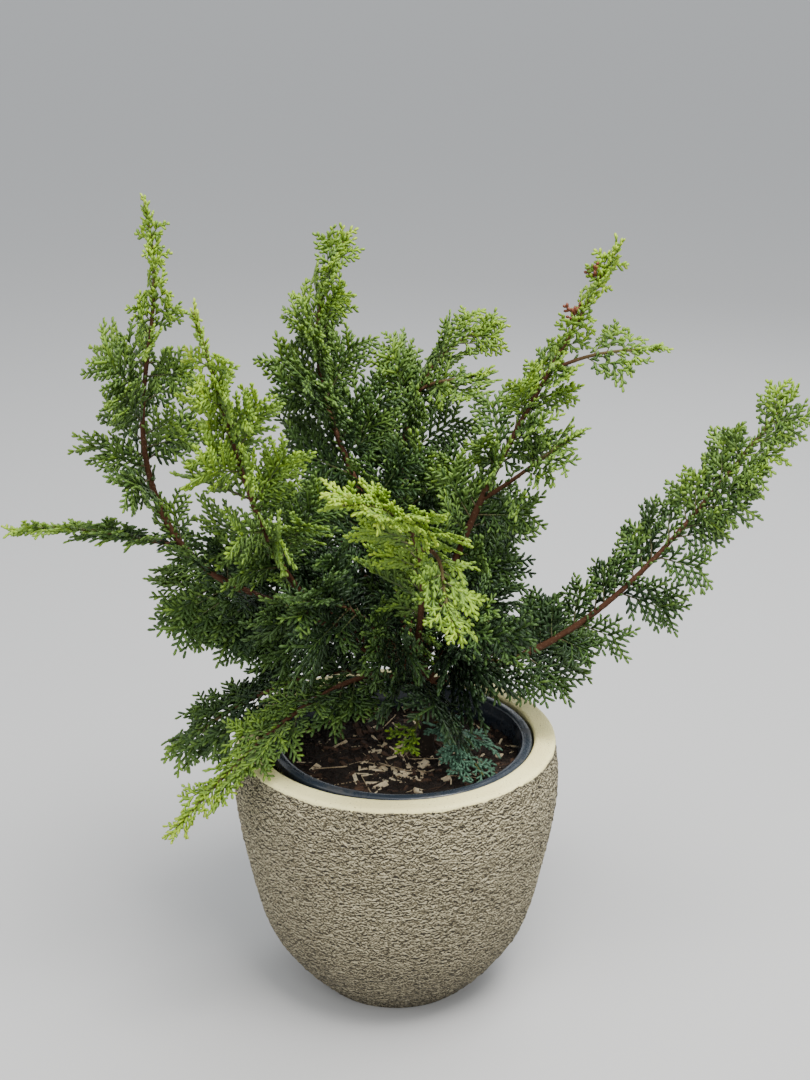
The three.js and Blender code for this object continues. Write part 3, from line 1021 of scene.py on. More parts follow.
TRUNK = TrunkSize()
# Heart, low and rear boughs take low tints as painted shade; outer boughs take high tints as
# painted light on paler young growth.
BOUGHS = (
    LimbSize("left_bough", "trunk", 1, (-209, -25, 489), (-141, 50), (172, 73), (4.6, 2.8),
             0.5, (44, 44, 38), Layout.ROUND, tint=(0.6, 2.0, 3.2)),
    LimbSize("left_leader", "left_bough", 1, (-204, -45, 752), (196, 73), (180, 79), (2.8, 1),
             0.02, (46, 54, 18), Layout.ROUND, 0, 0.1, slender=0.34, tint=(2.2, 3.7, 5.0)),
    LimbSize("left_shoot", "left_bough", 0.85, (-338, -40, 467), (-172, 10), (-172, -8), (2, 1),
             0.1, (40, 26, 16), Layout.FLAT, 20, tint=(2.0, 3.2, 4.4)),
    LimbSize("left_low_bough", "trunk", 0.9, (-216, -6, 406), (176, 48), (180, 4), (3.6, 1),
             0.14, (72, 62, 34), Layout.FLAT, -42, 0.2, tint=(0.4, 1.6, 2.6)),
    LimbSize("front_left_bough", "trunk", 0.86, (-157, -130, 680), (-168, 29), (-135, 71), (4, 1),
             0.2, (64, 56, 18), Layout.ROUND, slender=0.1, tint=(1.6, 3.6, 4.8)),
    LimbSize("centre_bough", "trunk", 0.97, (-42, 50, 714), (110, 86), (22, 56), (4.4, 1),
             0.16, (60, 60, 20), Layout.ROUND, slender=0.06, tint=(0.9, 2.4, 4.4)),
    LimbSize("back_bough", "trunk", 0.93, (95, 110, 622), (96, 80), (4, 18), (4, 1),
             0.16, (68, 52, 22), Layout.ROUND, tint=(1.0, 2.6, 4.4)),
    LimbSize("back_fork", "back_bough", 0.72, (84, 64, 586), (-40, 40), (-20, 26), (1.8, 1),
             0.1, (40, 34, 20), Layout.FLAT, 30, tint=(2.6, 3.2, 4.4)),
    LimbSize("right_bough", "trunk", 0.84, (187, -30, 717), (0, 77), (-10, 64), (4.4, 1),
             0.14, (46, 48, 19), Layout.ROUND, slender=0.26, tint=(1.3, 3.4, 4.8)),
    LimbSize("right_fork", "right_bough", 0.72, (228, -25, 628), (-7, 29), (-6, 4), (1.8, 1),
             0.1, (25, 23, 14), Layout.FLAT, 50, tint=(3.0, 3.8, 4.8)),
    LimbSize("right_spur", "right_bough", 0.42, (159, -52, 562), (-30, 35), (-24, 36), (2.2, 1),
             0.15, (36, 30, 18), Layout.FLAT, 40, tint=(2.0, 3.0, 4.0)),
    LimbSize("far_right_bough", "trunk", 0.76, (344, -30, 591), (0, 10), (-2, 53), (4, 1),
             0.14, (44, 40, 26), Layout.FLAT, 56, tint=(1.0, 2.5, 3.9), density=0.62),
    LimbSize("front_bough", "trunk", 0.9, (-37, -256, 564), (-90, 40), (-128, 12), (3.4, 1),
             0.12, (56, 46, 24), Layout.FLAT, -25, tint=(2.0, 4.3, 5.3), density=1.0),
    LimbSize("front_fork", "front_bough", 0.62, (50, -236, 452), (-40, 20), (-50, -38), (1.8, 1),
             0.12, (28, 25, 18), Layout.FLAT, 0, 0.15, tint=(3.2, 3.9, 4.7), density=1.0),
    LimbSize("low_front_bough", "trunk", 0.55, (-199, -115, 209), (-153, 58), (-154, -44), (3, 1),
             0.12, (54, 34, 16), Layout.FLAT, tint=(1.2, 3.4, 5.4)),
    LimbSize("low_left_bough", "trunk", 0.6, (-216, 20, 226), (174, 34), (176, -36), (3, 1),
             0.2, (46, 44, 24), Layout.FLAT, -32, 0.1, tint=(0.4, 1.6, 3.0)),
    LimbSize("left_skirt_bough", "trunk", 0.75, (-200, 8, 360), (178, 49), (178, -12), (3.2, 1),
             0.15, (52, 40, 22), Layout.FLAT, -42, 0.2, tint=(0.2, 1.2, 2.6)),
    LimbSize("heart_left_bough", "trunk", 0.8, (-92, -104, 424), (-140, 52), (-138, 4), (3, 1),
             0.16, (74, 68, 36), Layout.ROUND, tint=(0.0, 1.0, 2.4), density=1.0),
    LimbSize("heart_right_bough", "trunk", 0.7, (80, -100, 408), (-62, 52), (-50, 6), (3, 1),
             0.16, (74, 66, 34), Layout.ROUND, tint=(0.0, 1.0, 2.4), density=1.0),
    LimbSize("heart_front_bough", "trunk", 0.6, (-18, -104, 394), (-100, 36), (-105, 10), (2.8, 1),
             0.16, (76, 70, 36), Layout.ROUND, 0, 0.1, tint=(0.0, 0.8, 2.2), density=1.0),
    LimbSize("low_right_bough", "trunk", 0.64, (112, -42, 340), (-12, 36), (-20, -14), (2.8, 1),
             0.2, (42, 34, 20), Layout.FLAT, 30, 0.1, tint=(0.0, 0.8, 2.0)),
    LimbSize("rear_left_bough", "trunk", 0.95, (-105, 150, 446), (138, 56), (140, 24), (3.6, 1),
             0.25, (80, 70, 34), Layout.FLAT, tint=(0.6, 2.0, 3.4)),
    LimbSize("rear_right_bough", "trunk", 0.8, (72, 200, 430), (58, 56), (66, 24), (3.6, 1),
             0.25, (72, 66, 34), Layout.FLAT, tint=(0.6, 2.0, 3.4)),
    LimbSize("rear_low_bough", "trunk", 0.66, (8, 215, 336), (92, 46), (92, -14), (3.2, 1),
             0.25, (72, 66, 26), Layout.FLAT, 0, 0.15, tint=(0.4, 1.8, 3.2)),
    LimbSize("rear_low_left_bough", "trunk", 0.56, (-158, 128, 306), (146, 44), (150, -20), (3, 1),
             0.25, (68, 66, 34), Layout.FLAT, 0, 0.15, tint=(0.4, 1.8, 3.0)),
    LimbSize("rear_low_right_bough", "trunk", 0.58, (176, 96, 316), (26, 42), (24, -20), (3, 1),
             0.25, (68, 64, 34), Layout.FLAT, 0, 0.15, tint=(0.4, 1.8, 3.0)),
    LimbSize("front_sprig", "trunk", 0.5, (12, -48, 257), (-110, 12), (-110, -50), (1.4, 1),
             0, (22, 24, 14), Layout.FLAT, tint=(3.2, 3.8, 4.3), density=0.9),
    LimbSize("right_sprig", "trunk", 0.3, (80, -62, 240), (-40, 30), (-55, -22), (1.5, 1),
             0, (26, 34, 18), Layout.FLAT, tint=(7.0, 7.0, 7.0), density=0.7),
)


@dataclass(frozen=True)
class SprayRule:
    """The rule that sets the sprays along a stem, in millimetres and degrees."""

    handle: float = 0.4
    step: float = 6
    coarse: int = 5
    open_at_foot: float = 66
    open_at_tip: float = 34
    open_wobble: float = 9
    flat_wobble: float = 20
    round_turn: float = 163
    round_wobble: float = 25
    twist: float = 30
    length_wobble: float = 0.22
    width_share: float = 0.68
    probe: float = 6
    shortest: float = 10
    tip_reach: float = 1.1
    leading: float = 24
    limb_clearance: float = 2
    swell_start: float = 0.14
    swell_rise: float = 0.66
    arch: float = 0.12
    sag: float = 0.07
    sway: float = 0.08


RULE = SprayRule()


class Limb:
    """One limb's curve, measured evenly along its length."""

    def __init__(
        self, name: str, foot: np.ndarray, tip: Triple, leaves: Pair, arrives: Pair
    ) -> None:
        """Draws the curve.

        Args:
            name: The limb's name.
            foot: Where it starts, in millimetres.
            tip: Where it ends.
            leaves: The heading and lift it leaves at.
            arrives: The heading and lift it arrives at.
        """
        end = np.array(tip, float)
        handle = RULE.handle * np.linalg.norm(end - foot)
        self.name = name
        self.control = np.array([
            foot, foot + direction(*leaves) * handle, end - direction(*arrives) * handle, end
        ])
        even = self._bezier(np.linspace(0, 1, CURVE_STEPS + 1))
        gone = np.linalg.norm(np.diff(even, axis=0), axis=1)
        self.gone = np.concatenate([[0], np.cumsum(gone)])
        self.length = float(self.gone[-1])
        self.side = 0.0
        self.size: Optional[LimbSize] = None
        self.points = self.point(np.linspace(0, 1, STEM_POINTS + 1))

    def _bezier(self, t: np.ndarray) -> np.ndarray:
        """Points of the curve for its own parameter.

        Args:
            t: The parameter, from 0 at the foot to 1 at the tip.

        Returns:
            The points, in millimetres.
        """
        t = np.asarray(t, float)[..., None]
        a, b, c, d = self.control
        return a * (1 - t) ** 3 + 3 * b * t * (1 - t) ** 2 + 3 * c * t**2 * (1 - t) + d * t**3

    def _parameter(self, share: np.ndarray) -> np.ndarray:
        """The curve's own parameter at a share of its length."""
        even = np.linspace(0, 1, CURVE_STEPS + 1)
        return np.interp(np.asarray(share) * self.length, self.gone, even)

    def point(self, share: Any) -> np.ndarray:
        """The point at a share of the length."""
        return self._bezier(self._parameter(share))

    def frame(self, share: float) -> tuple[np.ndarray, np.ndarray, np.ndarray]:
        """The directions at a share of the length.

        Args:
            share: The share of the length.

        Returns:
            The run of the limb, its level crosswise direction and the one square to both.
        """
        t = float(self._parameter(share))
        along = unit(self._bezier(min(1, t + 1e-4)) - self._bezier(max(0, t - 1e-4)))
        turn = math.radians(self.side)
        level = np.array([-math.sin(turn), math.cos(turn), 0])
        across = unit(level - along * np.dot(level, along))
        return along, across, np.cross(along, across)

    def radius(self, share: Any) -> np.ndarray:
        """The half thickness along the limb.

        Args:
            share: A share of the length, or several.

        Returns:
            The half thickness there, in millimetres.
        """
        if self.size is None:
            return TRUNK.radius(np.asarray(share, float))
        foot, tip = self.size.radius
        return foot + (tip - foot) * np.asarray(share, float)

    def gap_to(self, points: np.ndarray) -> tuple[np.ndarray, np.ndarray]:
        """The distance from points to the limb's middle line.

        Args:
            points: One row for each point, in millimetres.

        Returns:
            The distances, and the share of the length nearest to each point.
        """
        start, run = self.points[:-1], np.diff(self.points, axis=0)
        reach = ((points[:, None] - start) * run).sum(2) / (run**2).sum(1)
        reach = np.clip(reach, 0, 1)
        gaps = np.linalg.norm(points[:, None] - start - reach[..., None] * run, axis=2)
        best = gaps.argmin(1)
        rows = np.arange(len(points))
        return gaps[rows, best], (best + reach[rows, best]) / STEM_POINTS


@dataclass
class Spray:
    """One spray of leaves: where it leaves its stem, the way it points and lies, and its length."""

    root: np.ndarray
    pointing: np.ndarray
    facing: np.ndarray
    length: float
    seed: int
    index: int
    grown: float
    arch: np.ndarray = field(default_factory=lambda: np.zeros(3))

    def mapped(self, x: np.ndarray, y: np.ndarray, z: np.ndarray) -> np.ndarray:
        """Places points of the flat spray in the arched one.

        Args:
            x: Millimetres along its midrib.
            y: Millimetres to its side.
            z: Millimetres out of its plane.

        Returns:
            One row for each point.
        """
        wide = np.cross(self.facing, self.pointing)
        x, y, z = (np.asarray(part, float)[..., None] for part in (x, y, z))
        flat = self.root + self.pointing * x + wide * y + self.facing * z
        return flat + self.arch * x * x / self.length


@dataclass
class Growth:
    """The limbs of the plant and the space that each mass keeps to."""

    planter_height: float = 253
    planter_radius: float = 152.5
    compost_top: float = 230
    pot_clearance: float = 4
    mouth_radius: float = 108

    def __post_init__(self) -> None:
        """Draws every limb in order."""
        foot = np.array(TRUNK.foot, float)
        trunk = Limb("trunk", foot, TRUNK.head, TRUNK.leaves, TRUNK.arrives)
        self.limbs: dict[str, Limb] = {"trunk": trunk}
        for bough in BOUGHS:
            foot = self.limbs[bough.parent].point(bough.at)
            limb = Limb(bough.name, foot, bough.tip, bough.leaves, bough.arrives)
            limb.size, limb.side = bough, bough.leaves[0]
            self.limbs[bough.name] = limb
        self.leafy = [limb for limb in self.limbs.values() if limb.size and limb.size.spread]

    def clear_of_pot(self, points: np.ndarray) -> np.ndarray:
        """Whether points are clear of the compost and both pots.

        Args:
            points: One row for each point, in millimetres.

        Returns:
            One truth value for each point.
        """
        out = np.hypot(points[:, 0], points[:, 1])
        over = np.where(out > self.mouth_radius, self.planter_height, self.compost_top)
        over = np.where(out > self.planter_radius + self.pot_clearance, 0, over)
        return points[:, 2] > over + self.pot_clearance

    def clear_of_limbs(self, own: Limb, points: np.ndarray, clearance: float) -> np.ndarray:
        """Whether points are clear of every other limb.

        Args:
            own: The limb that the points grow from.
            points: One row for each point.
            clearance: The least gap to a limb's surface.

        Returns:
            One truth value for each point.
        """
        clear = np.ones(len(points), bool)
        for limb in self.limbs.values():
            if limb is not own:
                gap, share = limb.gap_to(points)
                clear &= gap > limb.radius(share) + clearance
        return clear

    def in_own_space(self, own: Limb, points: np.ndarray) -> np.ndarray:
        """Whether points are nearer to their own stem than to any other, weighed by spread.

        Args:
            own: The limb that the points grow from.
            points: One row for each point.

        Returns:
            One truth value for each point.
        """
        mine = own.gap_to(points)[0] / max(own.size.spread)
        inside = np.ones(len(points), bool)
        for limb in self.leafy:
            if limb is not own:
                inside &= limb.gap_to(points)[0] / max(limb.size.spread) >= mine
        return inside

    def free_length(self, limb: Limb, spray: Spray) -> float:
        """How far a spray can grow before it would leave its space.

        Args:
            limb: The limb that it grows from.
            spray: The spray, with the length it wants.

        Returns:
            The length it gets, in millimetres.
        """
        reached = np.arange(2 * RULE.probe, spray.length, RULE.probe)
        if not len(reached):
            return spray.length
        points = spray.mapped(reached, 0 * reached, 0 * reached)
        free = self.clear_of_pot(points) & self.in_own_space(limb, points)
        free &= self.clear_of_limbs(limb, points, RULE.limb_clearance)
        blocked = np.flatnonzero(~free)
        return float(reached[blocked[0]] - RULE.probe) if len(blocked) else spray.length

    def spray_at(self, limb: Limb, index: int, share: float) -> Spray:
        """One spray of the rule.

        Args:
            limb: The limb that it grows from.
            index: Its number along the stem.
            share: The share of the limb's length.

        Returns:
            The spray, with the length it wants.
        """
        size, seed = limb.size, self.leafy.index(limb)
        along, across, upper = limb.frame(share)
        grown = (share - size.bare) / (1 - size.bare)
        opening = RULE.open_at_foot + (RULE.open_at_tip - RULE.open_at_foot) * grown
        opening = math.radians(opening + RULE.open_wobble * wobble(seed, index, Draw.OPEN.value))
        sway = wobble(seed, index, Draw.TURN.value)
        if size.layout is Layout.ROUND:
            turn = math.radians(index * RULE.round_turn + RULE.round_wobble * sway)
        else:
            turn = math.radians((index % 2) * 180 + size.roll + RULE.flat_wobble * sway)
        outward = across * math.cos(turn) + upper * math.sin(turn)
        pointing = along * math.cos(opening) + outward * math.sin(opening)
        pointing = unit(pointing - UP * size.droop)
        facing = unit(np.cross(pointing, along))
        twist = math.radians(RULE.twist * wobble(seed, index, Draw.TWIST.value))
        facing = facing * math.cos(twist) + np.cross(pointing, facing) * math.sin(twist)
        uneven = 1 + RULE.length_wobble * wobble(seed, index, Draw.LENGTH.value)
        length = through_three(size.spread, grown, size.slender) * uneven
        length = min(length, RULE.tip_reach * (1 - share) * limb.length)
        wide = np.cross(facing, pointing)
        arch = facing * RULE.arch * wobble(seed, index, Draw.ARCH.value) - UP * RULE.sag
        arch = arch + wide * (RULE.sway + RULE.sway * wobble(seed, index, Draw.SWAY.value))
        return Spray(limb.point(share), pointing, facing, length, seed, index, grown, arch)

    def sprays(self, limb: Limb) -> list[Spray]:
        """All the sprays along one stem that keep their space.

        Args:
            limb: The limb that they grow from.

        Returns:
            The sprays.
        """
        size, seed = limb.size, self.leafy.index(limb)
        start = size.bare * limb.length
        end = limb.length - RULE.leading
        grown = []
        for index in range(int((end - start) / RULE.step)):
            share = (start + (index + 1) * RULE.step) / limb.length
            dense = 1.0 if share > 1 - size.slender * (1 - size.bare) else size.density
            kept = chance(seed, index, Draw.KEEP.value) < dense
            if index % RULE.coarse and not kept:
                continue
            spray = self.spray_at(limb, index, share)
            spray.length = self.free_length(limb, spray)
            if spray.length >= RULE.shortest:
                grown.append(spray)
        last = end / limb.length
        leading = self.spray_at(limb, 0, last)
        leading.pointing, _, leading.facing = limb.frame(last)
        leading.length, leading.grown = RULE.leading, 1.0
        leading.arch = np.zeros(3)
        return [*grown, leading]


@dataclass
class Leaves:
    """Scale-clothed leaf fingers, as arrays with one row for each."""

    COLUMNS: ClassVar[tuple[str, ...]] = ("start", "run", "facing", "width", "tone")

    start: np.ndarray
    run: np.ndarray
    facing: np.ndarray
    width: np.ndarray
    tone: np.ndarray

    @staticmethod
    def joined(parts: Sequence["Leaves"]) -> "Leaves":
        """Joins the leaves of several sprays.

        Args:
            parts: The leaves of each spray.

        Returns:
            All the leaves.
        """
        return Leaves(*(
            np.concatenate([getattr(part, name) for part in parts]) for name in Leaves.COLUMNS
        ))

    def kept(self, chosen: np.ndarray) -> "Leaves":
        """Only the leaves that are chosen."""
        return Leaves(*(getattr(self, name)[chosen] for name in self.COLUMNS))


@dataclass(frozen=True)
class FanRule:
    """How one spray branches into side twigs and leaf fingers, in millimetres and degrees."""

    first: float = 4.5
    pinna_step: float = 4.2
    open_low: float = 56
    open_high: float = 36
    finger_first: float = 2.4
    finger_step: float = 2.8
    finger_open: float = 44
    finger_long: float = 7.4
    finger_short: float = 5.2
    finger_width: float = 2.75
    axis_width: float = 3.0
    old_tone: float = 0.8
    young_tone: float = 3.6
    old_stretch: float = 1.55
    cup: float = 0.14
    ruffle: float = 0.26
    finger_ruffle: float = 0.30
    least_pinna: float = 6.0
    end_room: float = 1.5
    end_finger: float = 6.5
    pinna_wobble: float = 6
    reach_wobble: float = 0.2
    twig_draws: int = 40
    twig_room: float = 1.0
    twig_share: float = 0.55
    last_finger: float = 0.98
    finger_share: float = 0.55
    finger_least: float = 2.0
    finger_wobble: float = 8
    size_wobble: float = 0.22
    spray_tone: float = 0.55
    # Painted shade darkens the foot of each spray, and painted light with paler young growth
    # brightens its outer fingers.
    foot_tone: float = -0.9
    outward_tone: float = 1.9
    leaf_tone: float = 0.5
    clothe_from: float = 0.3
    clothe_room: float = 2
    clothe_step: float = 1.3
    clothe_turn: float = 137.5
    clothe_open: float = 36
    clothe_sway: float = 20
    clothe_lean: float = 10
    clothe_sunk: float = 0.7
    clothe_uneven: float = 0.25
    clothe_tone: float = 0.7
    clothe_long: float = 6.2
    inner_long: float = 9.5
    clothe_shares: Triple = (0.0, 0.25, 0.8)
    clothe_chances: Triple = (0.45, 0.02, 1.0)

    def clothe(self, limb: "Limb", seed: int) -> Leaves:
        """Grows the leaves that clothe a stem: dark ones on its bare foot, as painted shade, close
        ones at its tip.

        Args:
            limb: The limb.
            seed: The number that its draws start from.

        Returns:
            The leaves.
        """
        size = limb.size
        foot = self.clothe_from * size.bare * limb.length
        places = np.arange(foot, limb.length - self.clothe_room, self.clothe_step)
        number = np.arange(len(places))
        grown = (places / limb.length - size.bare) / (1 - size.bare)
        wanted = np.interp(grown, self.clothe_shares, self.clothe_chances)
        kept = chance(seed, number, Draw.CLOTHE.value) < wanted
        lean = wobble(seed, number, Draw.CLOTHE.value + 1)
        start, run, facing, tone = [], [], [], []
        for i in number[kept]:
            share = places[i] / limb.length
            along, across, upper = limb.frame(share)
            turn = math.radians(i * self.clothe_turn + self.clothe_sway * lean[i])
            outward = across * math.cos(turn) + upper * math.sin(turn)
            opening = math.radians(self.clothe_open + self.clothe_lean * lean[i])
            pointing = along * math.cos(opening) + outward * math.sin(opening)
            start.append(limb.point(share) + outward * limb.radius(share) * self.clothe_sunk)
            long = self.inner_long if grown[i] < 0 else self.clothe_long
            run.append(pointing * long * (1 + self.clothe_uneven * lean[i]))
            facing.append(outward)
            # Leaves on the bare foot take the darkest tone, painted shade.
            base = through_three(size.tint, max(0, grown[i])) * (grown[i] > 0)
            tone.append(base + self.clothe_tone * lean[i])
        tones = np.clip(np.round(tone), 0, Tone.TIP.value)
        width = np.full(len(start), self.finger_width)
        return Leaves(np.array(start), np.array(run), np.array(facing), width, tones)

    def grow(self, spray: Spray, tint: Triple) -> Leaves:
        """Grows the leaves of one spray.

        Args:
            spray: The spray.
            tint: Its limb's tones at the foot, the middle and the tip, the low ones painting shade.

        Returns:
            The leaves.
        """
        seed, index, length = spray.seed, spray.index, spray.length
        base = through_three(tint, min(1, max(0, spray.grown)))
        stretch = float(np.interp(base, (self.old_tone, self.young_tone), (self.old_stretch, 1.0)))
        stations = np.arange(self.first, length - self.end_room, self.pinna_step)
        number = np.arange(len(stations))
        lean = wobble(seed, index, Draw.PINNA.value + number)
        side = np.where((number + index) % 2, 1.0, -1.0)
        swell = RULE.swell_start + RULE.swell_rise * stations / length
        swell = np.sin(math.pi * np.minimum(1, swell))
        opening = self.open_low + (self.open_high - self.open_low) * stations / length
        angle = np.radians(opening + self.pinna_wobble * lean)
        uneven = 1 + self.reach_wobble * lean
        reach = RULE.width_share * length / 2 * swell * uneven / np.sin(angle)
        reach = np.maximum(reach, self.least_pinna)
        tilt = self.cup + self.ruffle * wobble(seed, index, Draw.TILT.value + number)
        none, zero = 0 * stations, np.zeros(1)
        last = np.array([length - self.end_finger])
        rods = [
            (stations, none, none, angle * side, reach, tilt, stations / length),
            (last, zero, zero, zero, zero + self.end_finger, zero, zero + 1.0),
        ]
        for i in number:
            rods.append(self._fingers(
                spray, i, stations[i], side[i], angle[i], reach[i], tilt[i], stretch
            ))
        x, y, z, heading, size, slope, out = (np.concatenate(part) for part in zip(*rods))
        start = spray.mapped(x, y, z)
        end = spray.mapped(x + size * np.cos(heading), y + size * np.sin(heading), z + size * slope)
        width = np.full(len(x), self.finger_width)
        width[: len(stations)] = self.axis_width
        base += self.spray_tone * wobble(seed, index, Draw.TONE.value)
        own = self.leaf_tone * wobble(seed, index, Draw.TONE.value + np.arange(len(x)))
        # Painted shade darkens the spray's foot, and painted light with the paler young growth
        # brightens its outer fingers.
        shade = base + self.foot_tone + self.outward_tone * out + own
        tone = np.clip(np.round(shade), 0, Tone.TIP.value)
        if tint[0] > Tone.TIP.value:
            tone = np.full(len(x), float(Tone.BLUE.value))
        facing = np.tile(spray.facing, (len(x), 1))
        return Leaves(start, end - start, facing, width, tone)

    def _fingers(
        self, spray: Spray, number: int, station: float, side: float, angle: float, reach: float,
        tilt: float, stretch: float,
    ) -> tuple[np.ndarray, ...]:
        """The fingers along one side twig.

        Args:
            spray: The spray.
            number: The side twig's number.
            station: Where it leaves the midrib.
            side: The side it grows on.
            angle: Its angle from the midrib.
            reach: Its length.
            tilt: Its slope out of the plane.
            stretch: How much longer its fingers are than young ones.

        Returns:
            Columns of place, heading, length, slope and how far out each finger is.
        """
        step = self.finger_step * (0.5 + 0.5 * stretch)
        along = np.arange(self.finger_first, reach - self.twig_room, step)
        along = np.append(along, reach * self.last_finger)
        count = len(along)
        order = np.arange(count)
        draw = Draw.FINGER.value + number * self.twig_draws + order
        lean = wobble(spray.seed, spray.index, draw)
        lift = wobble(spray.seed, spray.index, draw + self.twig_draws // 2)
        turn = np.where(order % 2, 1.0, -1.0)
        turn[-1] = 0.0
        heading = side * angle + turn * np.radians(self.finger_open + self.finger_wobble * lean)
        share = along / max(reach, 1)
        size = self.finger_long + (self.finger_short - self.finger_long) * share
        size = size * (1 + self.size_wobble * lift) * stretch
        size = np.minimum(size, self.finger_share * reach + self.finger_least)
        size[-1] = min(self.finger_short * stretch, reach / 2)
        x = station + along * math.cos(angle)
        y = side * along * math.sin(angle)
        slope = tilt + self.finger_ruffle * lean
        out = (1 - self.twig_share) * station / spray.length + self.twig_share * share
        return x, y, along * tilt, heading, size, slope, out


FAN = FanRule()


# Pieces of the plant


@dataclass
class Foliage:
    """The masses of leaves, each grown from its own stem by the rule."""

    growth: Growth
    thickness: float = 1.9
    sides: int = 3
    triangle_depth: float = 0.667
    triangle_width: float = 0.577
    belly: float = 2.4
    foot: float = 0.8
    clearance: float = 0.5
    pot_slack: float = 2
    spray_sides: int = 4
    rib_points: int = 4
    rib_radius: Pair = (0.95, 0.45)
    rib_end: float = 3
    rib_least: float = 0.45
    rib_full: float = 90
    dead: tuple[tuple[str, float, float], ...] = (
        ("right_bough", 0.80, 17), ("right_bough", 0.90, 15)
    )
    dead_index: int = 500
    dead_pointing: Triple = (-0.35, -0.2, 1.0)

    def leaf_tree(self) -> Generator:
        """The tree that sets one leaf finger on each point.

        Returns:
            The tree, with a material input for each tone.
        """
        sizes: dict[str, Any] = {"Leaf Sides": self.sides, "Leaf Thickness": self.thickness * MM}
        sizes.update({tone.name.title(): None for tone in Tone})
        tree = Generator("leaf_fingers", sizes)
        cone = tree.node(
            "GeometryNodeMeshCone", {"fill_type": "NGON"},
            {"Vertices": tree.given("Leaf Sides"), "Side Segments": 2, "Radius Top": 0.0,
             "Radius Bottom": 1.0, "Depth": 1.0},
        )
        x, y, z = tree.parts(tree.place())
        stout = z * self.belly + self.foot
        shaped = tree.term("GeometryNodeSetPosition", inputs={
            "Geometry": Term(tree, cone.outputs["Mesh"]),
            "Position": tree.vector(x * stout, y * stout, 1 - (1 - z) * (1 - z)),
        })
        run = tree.stored("run", "FLOAT_VECTOR")
        aim = tree.term(
            "FunctionNodeAxesToRotation", {"primary_axis": "Z", "secondary_axis": "X"},
            {"Primary Axis": run, "Secondary Axis": tree.stored("facing", "FLOAT_VECTOR")},
        )
        length = tree.term("ShaderNodeVectorMath", {"operation": "LENGTH"}, {0: run}, "Value")
        scale = tree.vector(
            tree.given("Leaf Thickness") * self.triangle_depth,
            tree.stored("width") * self.triangle_width, length,
        )
        leaves = tree.term("GeometryNodeInstanceOnPoints", inputs={
            "Points": tree.given("Geometry"), "Instance": tree.smooth(shaped), "Rotation": aim,
            "Scale": scale,
        })
        tone = tree.stored("tone")
        chosen = []
        for kind in Tone:
            same = tree.term(
                "FunctionNodeCompare", {"data_type": "FLOAT", "operation": "EQUAL"},
                {"A": tone, "B": float(kind.value), "Epsilon": 0.4},
            )
            chosen.append((same, tree.given(kind.name.title())))
        tree.close(leaves, chosen)
        return tree

    def twig_tree(self) -> Generator:
        """The tree that draws a tapering twig along each chain of edges.

        Returns:
            The tree.
        """
        tree = Generator("spray_twigs", {"Twig Sides": self.spray_sides, "Twig Finish": None})
        line = tree.term("GeometryNodeMeshToCurve", inputs={"Mesh": tree.given("Geometry")})
        swept = tree.swept(line, tree.ring(tree.given("Twig Sides")), tree.stored("radius"))
        tree.close(swept, [(None, tree.given("Twig Finish"))])
        return tree

    def mass_leaves(self, limb: Limb, sprays: Sequence[Spray]) -> Leaves:
        """The leaves of one mass that are clear of every limb and pot.

        Args:
            limb: The mass's stem.
            sprays: Its sprays.

        Returns:
            The leaves.
        """
        parts = [FAN.grow(spray, limb.size.tint) for spray in sprays]
        if limb.size.tint[0] <= Tone.TIP.value:
            parts.append(FAN.clothe(limb, self.growth.leafy.index(limb)))
        leaves = Leaves.joined(parts)
        ends = leaves.start + leaves.run
        clear = self.growth.clear_of_limbs(limb, ends, self.clearance)
        clear &= self.growth.clear_of_pot(ends + UP * self.pot_slack)
        return leaves.kept(clear)

    def dead_sprigs(self) -> dict[str, list[Spray]]:
        """The short dead sprays that the rule doesn't give.

        Returns:
            The sprays by the name of their limb.
        """
        found: dict[str, list[Spray]] = {}
        for order, (name, grown, length) in enumerate(self.dead):
            limb = self.growth.limbs[name]
            share = limb.size.bare + grown * (1 - limb.size.bare)
            spray = self.growth.spray_at(limb, self.dead_index + order, share)
            along = limb.frame(share)[0]
            spray.pointing = unit(np.array(self.dead_pointing))
            spray.facing = unit(np.cross(spray.pointing, along))
            spray.length = length
            found.setdefault(name, []).append(spray)
        return found

    def twig_mesh(self, name: str, sprays: Sequence[Spray]) -> bpy.types.Mesh:
        """The midribs of sprays as chains of edges.

        Args:
            name: The mesh's name.
            sprays: The sprays.

        Returns:
            The mesh, with a radius stored at each point.
        """
        share = np.linspace(0, 1, self.rib_points)
        points, radius = [], []
        for spray in sprays:
            reach = share * (spray.length - self.rib_end)
            points.append(spray.mapped(reach, 0 * reach, 0 * reach))
            thick = min(1.0, self.rib_least + spray.length / self.rib_full)
            radius.append(np.interp(share, (0, 1), self.rib_radius) * thick * MM)
        return chains(name, points, {"radius": radius, "grown": [share] * len(points)})

